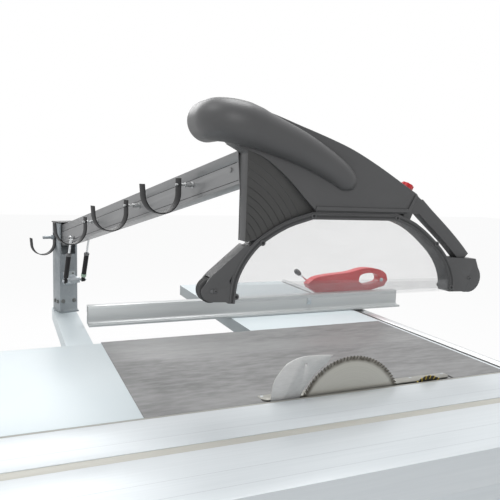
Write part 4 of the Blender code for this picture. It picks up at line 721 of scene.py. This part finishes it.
oval = turned("clamp_lever_knob", [(0.0050, -0.020), (0.0085, -0.0165), (0.0108, -0.008), (0.0114, 0.001),
                                   (0.0100, 0.0085), (0.0065, 0.0130), (0.0025, 0.0142)],
              LEVER_TIP + arm_y - along * 0.003, along, 28)
fit(rounded(oval, 0), "clamp_lever", dark_plastic, "fence_lever")


# Guard post. A welded, hot-dip galvanised box with an open head; it is bolted to a powder-coated tube
# that the cabinet carries, and a black plate closes its head.

softened("post_tube", 0.0015, powder_coat)
softened("outrigger_bracket", 0.0010, powder_coat)
galvanised = finish("galvanised", (0.315, 0.345, 0.362), (0.250, 0.275, 0.292), (0.40, 0.425, 0.44),
                    patches=(18, 0.7), grains=(120, 0.25), rough=(0.36, 0.14), relief=0.00004,
                    metallic=0.5)
softened("guard_post", 0.0012, galvanised)
softened("post_cap", 0.0008, black_paint)
softened("spring_bracket", 0.0010, zinc_plate)
POST_PIVOT = Vector((-0.6085, 1.150, TABLE + 0.288))
GUARD_PIVOT = Vector((-0.2942, 0.0900, TABLE + 0.5543))
away = GUARD_PIVOT - POST_PIVOT
ARM_LENGTH = away.length
ARM_RISE = atan2(away.z, hypot(away.x, away.y))
AT_POST = Matrix.Translation(POST_PIVOT) @ Matrix.Rotation(atan2(away.y, away.x), 4, "Z")
AT_ARM = AT_POST @ Matrix.Rotation(-ARM_RISE, 4, "Y")
POST_FACE, POST_HALF = 0.0465, 0.0355
BRACKET_FACE, BIG_BOLT, SMALL_BOLT = POST_FACE + 0.0043, 0.0062, 0.0042
feet = []
for across in (-0.022, 0.022):
    feet.append(bolt("bolt", (POST_FACE, across, -0.248), (1, 0, 0), BIG_BOLT, AT_POST))
    for z in (-0.139, -0.176):
        feet.append(bolt("bolt", (BRACKET_FACE, across * 0.72, z), (1, 0, 0), SMALL_BOLT, AT_POST, False))
for along_post in (0.002, 0.028):
    feet.append(bolt("bolt", (along_post, -POST_HALF, -0.250), (0, -1, 0), BIG_BOLT, AT_POST))
dark_zinc = finish("dark_zinc", (0.20, 0.205, 0.20), (0.13, 0.135, 0.13), (0.32, 0.32, 0.31),
                   patches=(60, 0.6), grains=(260, 0.35), rough=(0.32, 0.16), relief=0.00004,
                   metallic=0.7)
fit_set("post_bolts", feet, "base", dark_zinc, "guard_post", 0.0002)
WELD_HEIGHT, BEAD_R, BEAD_STEP = -0.2855, 0.0022, 0.0025
weld_line = [(-0.020, -POST_HALF), (POST_FACE, -POST_HALF), (POST_FACE, POST_HALF), (-0.020, POST_HALF)]
beads = []
for start, end in zip(weld_line, weld_line[1:]):
    start, end = Vector(start), Vector(end)
    steps = int((end - start).length / BEAD_STEP)
    line, sizes = [], []
    for k in range(steps + 1):
        spot = start + (end - start) * k / steps
        line.append((spot.x, spot.y, WELD_HEIGHT))
        sizes.append(0.0021 + 0.0004 * (k % 2))
    beads.append(bar_along("bead", line, BEAD_R, sizes, 8, AT_POST))
fit_set("post_weld", beads, "base", galvanised, "guard_post", angle=60)


# Lifting arm. An aluminium extrusion with grooved flanks and an end plug is held up by two gas springs,
# the left one with a film sleeve. Three black strip hooks bolted to it, and one on the post's pin,
# carry a suction hose.

def beside(line, distance):
    """An open line moved to its left by a distance."""
    moved = []
    for k, point in enumerate(line):
        ahead = (line[min(k + 1, len(line) - 1)] - line[max(k - 1, 0)]).normalized()
        moved.append(point + Vector((-ahead.y, ahead.x)) * distance)
    return moved


def both_sides(line, distance):
    """The outline of a narrow band along an open line."""
    return beside(line, distance) + beside(line, -distance)[::-1]


arm_aluminium = finish("arm_aluminium", (0.295, 0.296, 0.298), (0.268, 0.269, 0.273), (0.33, 0.33, 0.332),
                       patches=(4, 0.5), grains=(300, 0.2), rough=(0.36, 0.08), relief=0.00002,
                       metallic=0.45)
arm = softened("arm_beam", 0.0016, arm_aluminium, 3)
ARM_HALF, GROOVE_DEEP, GROOVE_FEET = 0.025, 0.0012, (0.0118, -0.0305)
GROOVE_FLOOR = ARM_HALF - GROOVE_DEEP
grooves = [block("groove", (-0.02, ARM_LENGTH + 0.06), side, (z, z + 0.0016), AT_ARM)
           for side in ((-ARM_HALF - 0.01, -GROOVE_FLOOR), (GROOVE_FLOOR, ARM_HALF + 0.01))
           for z in GROOVE_FEET]
cut(arm, *grooves)
rounded(arm, 0)
lines = [block("line", (0.05, ARM_LENGTH + 0.024), side, (z + 0.0001, z + 0.0015), AT_ARM)
         for side in ((-ARM_HALF + 0.0004, -ARM_HALF + 0.0014), (ARM_HALF - 0.0014, ARM_HALF - 0.0004))
         for z in GROOVE_FEET]
fit_set("arm_groove_shade", lines, "guard_arm", black_paint, "arm_beam")
plug_grey = finish("plug_grey", (0.15, 0.152, 0.155), (0.13, 0.132, 0.135), (0.20, 0.202, 0.205),
                   patches=(20, 0.4), grains=(500, 0.3), rough=(0.5, 0.1), relief=0.00005)
plug = block("arm_end_plug", (ARM_LENGTH + 0.0205, ARM_LENGTH + 0.0255),
             (-ARM_HALF + 0.0031, ARM_HALF - 0.0031), (-0.0353, 0.0353), AT_ARM)
fit(rounded(plug, 0.0015), "guard_arm", plug_grey, "arm_beam")
bright_zinc = finish("bright_zinc", (0.46, 0.47, 0.47), (0.30, 0.31, 0.31), (0.62, 0.63, 0.63),
                     patches=(70, 0.7), grains=(400, 0.35), rough=(0.24, 0.14), relief=0.00003,
                     metallic=0.75)
HOOKS = {"a": 0.968, "b": 0.673, "c": 0.372}
HOOK_LEG, HOOK_R, HOOK_HALF = 0.0685, 0.0515, 0.0125
THREADS, STUD_R, FLANK = 44, 0.0036, -ARM_HALF - 0.0003


def hook_strip(name, leg, radius, base):
    """A flat strip with rounded edges, bent to a U that lies across the arm."""
    middle = [Vector((leg, 0.017)), Vector((leg, -0.022))]
    middle += [Vector((leg + radius + radius * cos(radians(180 + 7.5 * k)),
                       -0.022 + radius * sin(radians(180 + 7.5 * k)))) for k in range(1, 25)]
    middle.append(Vector((leg + 2 * radius + 0.002, 0.0)))
    outline = [(-p.x, p.y) for p in both_sides(middle, 0.0015)]
    return rounded(slab(name, outline, (-HOOK_HALF, HOOK_HALF), "x", base), 0.0007, 2, 50)


for letter, along_arm in HOOKS.items():
    name = f"hose_hook_{letter}"
    hook_base = AT_ARM @ Matrix.Translation((along_arm, 0, 0)) @ Matrix.Rotation(ARM_RISE, 4, "Y")
    strip = hook_strip(f"{name}_strip", HOOK_LEG, HOOK_R, hook_base)
    fit(strip, "guard_arm", black_paint, name, name)
    line = [(0, FLANK - 0.0012 * k, 0) for k in range(THREADS)]
    crests = [STUD_R - 0.0005 * (k % 2) for k in range(THREADS)]
    parts = [bar_along("stud", line, STUD_R, crests, 10, hook_base),
             bolt("nut", (0, -HOOK_LEG + 0.0018, 0), (0, 1, 0), 0.0068, hook_base),
             bolt("nut", (0, -ARM_HALF - 0.0203, 0), (0, -1, 0), 0.0062, hook_base, False),
             turned("sleeve", [(0.0085, 0), (0.0085, 0.0015), (0.0058, 0.0030), (0.0058, 0.0200)],
                    (0, FLANK, 0), (0, -1, 0), 24, hook_base)]
    fit_set(f"{name}_bolt", parts, "guard_arm", bright_zinc, name, angle=40)
PIN_FACE = POST_HALF + 0.0018
strip = hook_strip("post_hook_strip", PIN_FACE, 0.044, AT_POST)
pin_room = turned("room", [(0.0068, -0.01), (0.0068, 0.01)], (0, -PIN_FACE, 0), (0, 1, 0), 24, AT_POST)
fit(rounded(cut(strip, pin_room), 0), "base", black_paint, "hose_hook_d", "hose_hook_d")
SPRING_OUT = 0.035
for side, outward in (("left", 1), ("right", -1)):
    softened(f"spring_cylinder_{side}", 0.0008, black_paint)
    softened(f"spring_rod_{side}", 0.0005, chrome)
    foot, head = Vector((0.103, outward * SPRING_OUT, -0.157)), Vector((0.158, outward * SPRING_OUT, 0.012))
    ahead = (head - foot).normalized()
    collar = turned(f"spring_collar_{side}", [(0.0096, 0), (0.0100, 0.001), (0.0100, 0.006),
                                              (0.0080, 0.0085)], foot + ahead * 0.1045, ahead, 24, AT_POST)
    fit(rounded(collar, 0), f"cylinder_{side}", plug_grey, f"spring_cylinder_{side}")
    if side == "left":
        sleeve = turned("spring_sleeve", [(0.0096, 0), (0.0098, 0.0005), (0.0098, 0.0115), (0.0096, 0.012)],
                        foot + ahead * 0.013, ahead, 24, AT_POST)
        green_film = finish("green_film", (0.36, 0.50, 0.38), (0.28, 0.42, 0.31), (0.50, 0.60, 0.50),
                            patches=(60, 0.5), grains=(400, 0.2), rough=(0.4, 0.1), relief=0.00002)
        fit(rounded(sleeve, 0), "cylinder_left", green_film, "spring_cylinder_left")
    cap = bolt("nut", foot + Vector((0, 0.0060 * outward, 0)), (0, outward, 0), 0.0065, AT_POST, False)
    fit_set(f"spring_nut_{side}", [cap], "base", zinc_plate, "spring_bracket", 0.0002)


# Guard. Two moulded shells make a flat body with the dust pipe blown into it; a ribbed panel is let
# in below the elbow, a lip stiffens the lower edge, and a strut leads down to the front bracket.

def bent(points, steps):
    """A smooth curve through the points."""
    points = [Vector(p) for p in points]
    ends = [2 * points[0] - points[1], *points, 2 * points[-1] - points[-2]]
    made = []
    for a, b, c, d in zip(ends, ends[1:], ends[2:], ends[3:]):
        for k in range(steps):
            t = k / steps
            made.append(0.5 * (2 * b + (c - a) * t + (2 * a - 5 * b + 4 * c - d) * t**2
                               + (3 * b - a - 3 * c + d) * t**3))
    return made + [points[-1]]


GUARD_DEEP = 0.047
ARCH_REAR = bent([(-0.331, 0.245), (-0.326, 0.290), (-0.314, 0.3225), (-0.292, 0.3565), (-0.262, 0.386),
                  (-0.200, 0.4212), (-0.133, 0.4420)], 5)
ARCH_FRONT = bent([(0.112, 0.4390), (0.167, 0.4170), (0.224, 0.3770), (0.2700, 0.3315), (0.2940, 0.286),
                   (0.300, 0.245)], 5)
ARCH = ARCH_REAR + ARCH_FRONT
seat = [p for p in beside(ARCH, 0.0179) if -0.303 < p.x < 0.128 and p.y > 0.390]
body_top = bent([(-0.345, 0.694), (-0.330, 0.7045), (-0.2505, 0.6857), (-0.180, 0.6640), (-0.098, 0.6385),
                 (-0.026, 0.6125), (0.050, 0.5760), (0.123, 0.5360), (0.174, 0.508)], 5)
body_edge = (seat + [Vector((0.148, 0.468)), Vector((0.166, 0.500))] + body_top[::-1]
             + [Vector((-0.352, 0.616)), Vector((-0.309, 0.594)), Vector((-0.309, 0.389))])
body = rounded(slab("guard_body_shell", body_edge, (0, GUARD_DEEP - 0.0034)), 0.0030, 3)
PIPE_R, PIPE_WALL, ELBOW, ELBOW_R = 0.049, 0.003, Vector((-0.320, 0.050)), 0.054
MOUTH_X, MOUTH_Z = -0.374, 0.6665
pipe_line = [(MOUTH_X, y, MOUTH_Z) for y in (0.105, 0.088, 0.070)]
pipe_line += [(ELBOW.x + ELBOW_R * cos(radians(180 + 6 * k)), ELBOW.y + ELBOW_R * sin(radians(180 + 6 * k)),
               MOUTH_Z - 0.010 * (k / 15) ** 2) for k in range(16)]
falling = bent([(-0.296, -0.004, 0.6505), (-0.2700, -0.004, 0.6418), (-0.2250, -0.004, 0.6270),
                (-0.1750, -0.003, 0.6085), (-0.1200, -0.002, 0.5830), (-0.0740, 0.001, 0.5580),
                (-0.0480, 0.004, 0.5400), (-0.0370, 0.006, 0.5320), (-0.0280, 0.009, 0.5250),
                (-0.0245, 0.012, 0.5225)], 4)
widths = bent([(w, 0) for w in (0.0470, 0.0440, 0.0412, 0.0383, 0.0345, 0.0318, 0.0290, 0.0240, 0.0145,
                                0.0060)], 4)
pipe_sizes = [PIPE_R] * len(pipe_line) + [w.x for w in widths]
pipe = bar_along("pipe", pipe_line + falling, PIPE_R, pipe_sizes, 48)
cut(body, pipe, operation="UNION")
bore_line = [(MOUTH_X, 0.130, MOUTH_Z)] + pipe_line[1:9]
cut(body, bar_along("bore", bore_line, PIPE_R - PIPE_WALL, sides=48))
panel_arc = bent([(-0.3085, 0.5995), (-0.2689, 0.5847), (-0.2322, 0.5605), (-0.1944, 0.5291),
                  (-0.1551, 0.4901), (-0.1291, 0.4652)], 4)
panel_foot = [Vector(p) for p in ((-0.1315, 0.4606), (-0.1700, 0.4508), (-0.2072, 0.4382),
                                  (-0.2400, 0.4208), (-0.2724, 0.4012), (-0.3085, 0.3895))]
PANEL_LEFT, PANEL_SLOPE, PANEL_SET = -0.3090, 0.088, 0.0010


def lean_at(x):
    """How far back the let-in panel lies at a place along the guard."""
    return PANEL_SLOPE * max(x - PANEL_LEFT, 0) + PANEL_SET


recess = [Vector((-0.330, 0.6090))] + panel_arc + [Vector((-0.120, 0.430)), Vector((-0.330, 0.360))]
tool = slab("recess", recess, (0, 0.0010))
for vertex in tool.data.vertices:
    vertex.co.y = lean_at(vertex.co.x) if vertex.co.y > 0.0005 else -0.004
cut(body, tool)
fit(rounded(body, 0, angle=28), "guard", dark_plastic, "guard_body", "guard_body")
panel = slab("guard_ribbed_panel", panel_arc + panel_foot, (-0.0008, 0.0016))
RIBS = 9
for k in range(RIBS):
    start = Vector((-0.3120, 0.5800 - 0.0199 * k))
    end = Vector((-0.1660 - 0.0160 * k, 0.4490 - 0.0083 * k))
    bow = Vector((-(end - start).y, (end - start).x)) * 0.34
    line = [start.lerp(end, t / 10) + bow * (t / 10) * (1 - t / 10) for t in range(11)]
    cut(panel, slab("groove", both_sides(line, 0.0009), (-0.003, 0.0005)))
for vertex in panel.data.vertices:
    vertex.co.y += lean_at(vertex.co.x)
panel_plastic = finish("panel_plastic", (0.050, 0.050, 0.048), (0.042, 0.042, 0.040), (0.070, 0.070, 0.068),
                       patches=(8, 0.5), grains=(1600, 0.45), rough=(0.55, 0.08), relief=0.00012)
fit(rounded(panel, 0, angle=20), "guard", panel_plastic, "guard_body")
lip_line = [(-0.1290, 0.4640), (0.1500, 0.4604), (0.1712, 0.5065), (0.1655, 0.5085), (0.1445, 0.4695),
            (-0.1265, 0.4745)]
lip = rounded(slab("guard_lip", lip_line, (-0.0034, 0.001)), 0.0014, 3)
fit(lip, "guard", dark_plastic, "guard_body")
# A black strip just under the lip is painted shade in the gap between the body and the hood, not a seal.
seal_line = [(-0.1285, 0.4600), (0.1270, 0.4570), (0.1460, 0.4604), (-0.1290, 0.4640)]
shade_strip = slab("guard_gap_shade", seal_line, (-0.0006, 0.002))
fit(rounded(shade_strip, 0.0002), "guard", rubber, "guard_body")
tongue = softened("guard_body", 0, dark_plastic)
tongue.name = "guard_tongue"
with editing(tongue):
    for place, kept_side in (((0, GUARD_DEEP - 0.002, 0), (0, 1, 0)), ((-0.335, 0, 0), (1, 0, 0))):
        bpy.ops.mesh.select_all(action="SELECT")
        bpy.ops.mesh.bisect(plane_co=place, plane_no=kept_side, use_fill=True, clear_inner=True)
    face_outwards()
rounded(tongue, 0.0008)
softened("guard_cover", 0.0010, dark_plastic)


# Hood. A moulded arch holds two clear sheets in its groove by a bead and screwed bosses; its feet
# carry the rollers that ride up on the workpiece.

softened("hood_frame", 0.0016, dark_plastic, 3)
BOSSES = ((-0.1334, 0.4507), (-0.2659, 0.3869), (-0.3290, 0.2619), (0.1112, 0.4460), (0.2440, 0.3770),
          (0.3035, 0.2570))
AXLES = ((-0.3795, 0.2770), (0.3671, 0.2802))
FIXINGS = (
    ("hood_bosses", BOSSES, dark_plastic, [(0.0072, 0), (0.0072, 0.0022), (0.0060, 0.0034)], 20, 0.0003),
    ("hood_screws", BOSSES, black_paint, [(0.0036, 0.0030), (0.0036, 0.0040), (0.0026, 0.0044)], 6, 0),
    ("axle_screws", AXLES, dark_plastic, [(0.0055, 0), (0.0055, 0.0010), (0.0035, 0.0024)], 20, 0),
    ("axle_sockets", AXLES, black_paint, [(0.0018, 0.0020), (0.0018, 0.0027)], 6, 0),
)
for side, face, outward in (("near", 0.0, -1), ("far", GUARD_DEEP, 1)):
    beads = [bar_along("bead", [(p.x, face, p.y) for p in beside(ARCH, inwards)], radius, sides=10)
             for inwards, radius in ((0.0040, 0.0019), (0.0128, 0.0022))]
    fit_set(f"hood_beads_{side}", beads, "guard", dark_plastic, "hood_frame", angle=50)
    line = beside(ARCH, 0.0064) + beside(ARCH, 0.0096)[::-1]
    groove = slab(f"hood_groove_{side}", line, (face - 0.0004, face + 0.0004))
    fit(rounded(groove, 0), "guard", rubber, "hood_frame")
    for name, places, material, profile, sides, width in FIXINGS:
        pieces = [turned(name, profile, (x, face, z), (0, outward, 0), sides) for x, z in places]
        fit_set(f"{name}_{side}", pieces, "guard", material, "hood_frame", width)
softened("guard_handle", 0.0060, dark_plastic, 4)
red_plastic = finish("red_plastic", (0.60, 0.006, 0.012), (0.50, 0.004, 0.010), (0.70, 0.03, 0.03),
                     patches=(60, 0.5), grains=(900, 0.2), rough=(0.30, 0.08), relief=0.00002)
softened("guard_knob", 0.0008, red_plastic)
for end, x, z, radius in (("rear", -0.387, 0.277, 0.029), ("front", 0.366, 0.281, 0.042)):
    node, wheel, place = f"{end}_roller", f"roller_{end}", (x, GUARD_DEEP / 2, z)
    half = [(radius, 0.0028), (radius - 0.0012, 0.0038), (radius - 0.0012, 0.0052), (radius, 0.0062),
            (radius, 0.0122), (radius * 0.93, 0.0150), (radius * 0.62, 0.0150)]
    tread = [(r, -y) for r, y in half[::-1]] + half
    tyre = turned(f"{node}_tyre", tread, place, (0, 1, 0), 56)
    fit(rounded(tyre, 0.0003), wheel, rubber, node, node)
    half = [(radius * 0.60, 0.0152), (0.0110, 0.0163), (0.0048, 0.0165), (0.0048, 0.0225)]
    hub = turned(f"{node}_hub", [(r, -y) for r, y in half[::-1]] + half, place, (0, 1, 0), 40)
    fit(rounded(hub, 0.0004), wheel, plug_grey, node)


# Clear sheets. Two scratched polycarbonate sheets, with a thicker wear strip along the lower edge
# of each that has gone grey.

clear_sheet = finish("clear_sheet", (0.34, 0.345, 0.35), (0.20, 0.205, 0.21), (0.90, 0.90, 0.90),
                     patches=(5, 0.8), grains=(26, 0.5), rough=(0.20, 0.2), relief=0.00002,
                     stretch=(0.45, 1, 3.5), alpha=0.065)
softened("shield_near", 0.0003, clear_sheet)
softened("shield_far", 0.0003, clear_sheet)
wear_strip = finish("wear_strip", (0.62, 0.63, 0.64), (0.30, 0.31, 0.32), (0.90, 0.90, 0.90),
                    patches=(7, 0.9), grains=(60, 0.7), rough=(0.24, 0.2), relief=0.00003,
                    stretch=(0.6, 1, 5), alpha=0.08)
STRIP_EDGE = [(-0.3285, 0.2490), (0.2985, 0.2490), (0.2930, 0.2760), (-0.3235, 0.2880)]
for side, y in (("near", (0.0052, 0.0064)), ("far", (GUARD_DEEP - 0.0064, GUARD_DEEP - 0.0052))):
    strip = slab(f"shield_strip_{side}", STRIP_EDGE, y)
    fit(rounded(strip, 0.0003), "guard", wear_strip, f"shield_{side}")
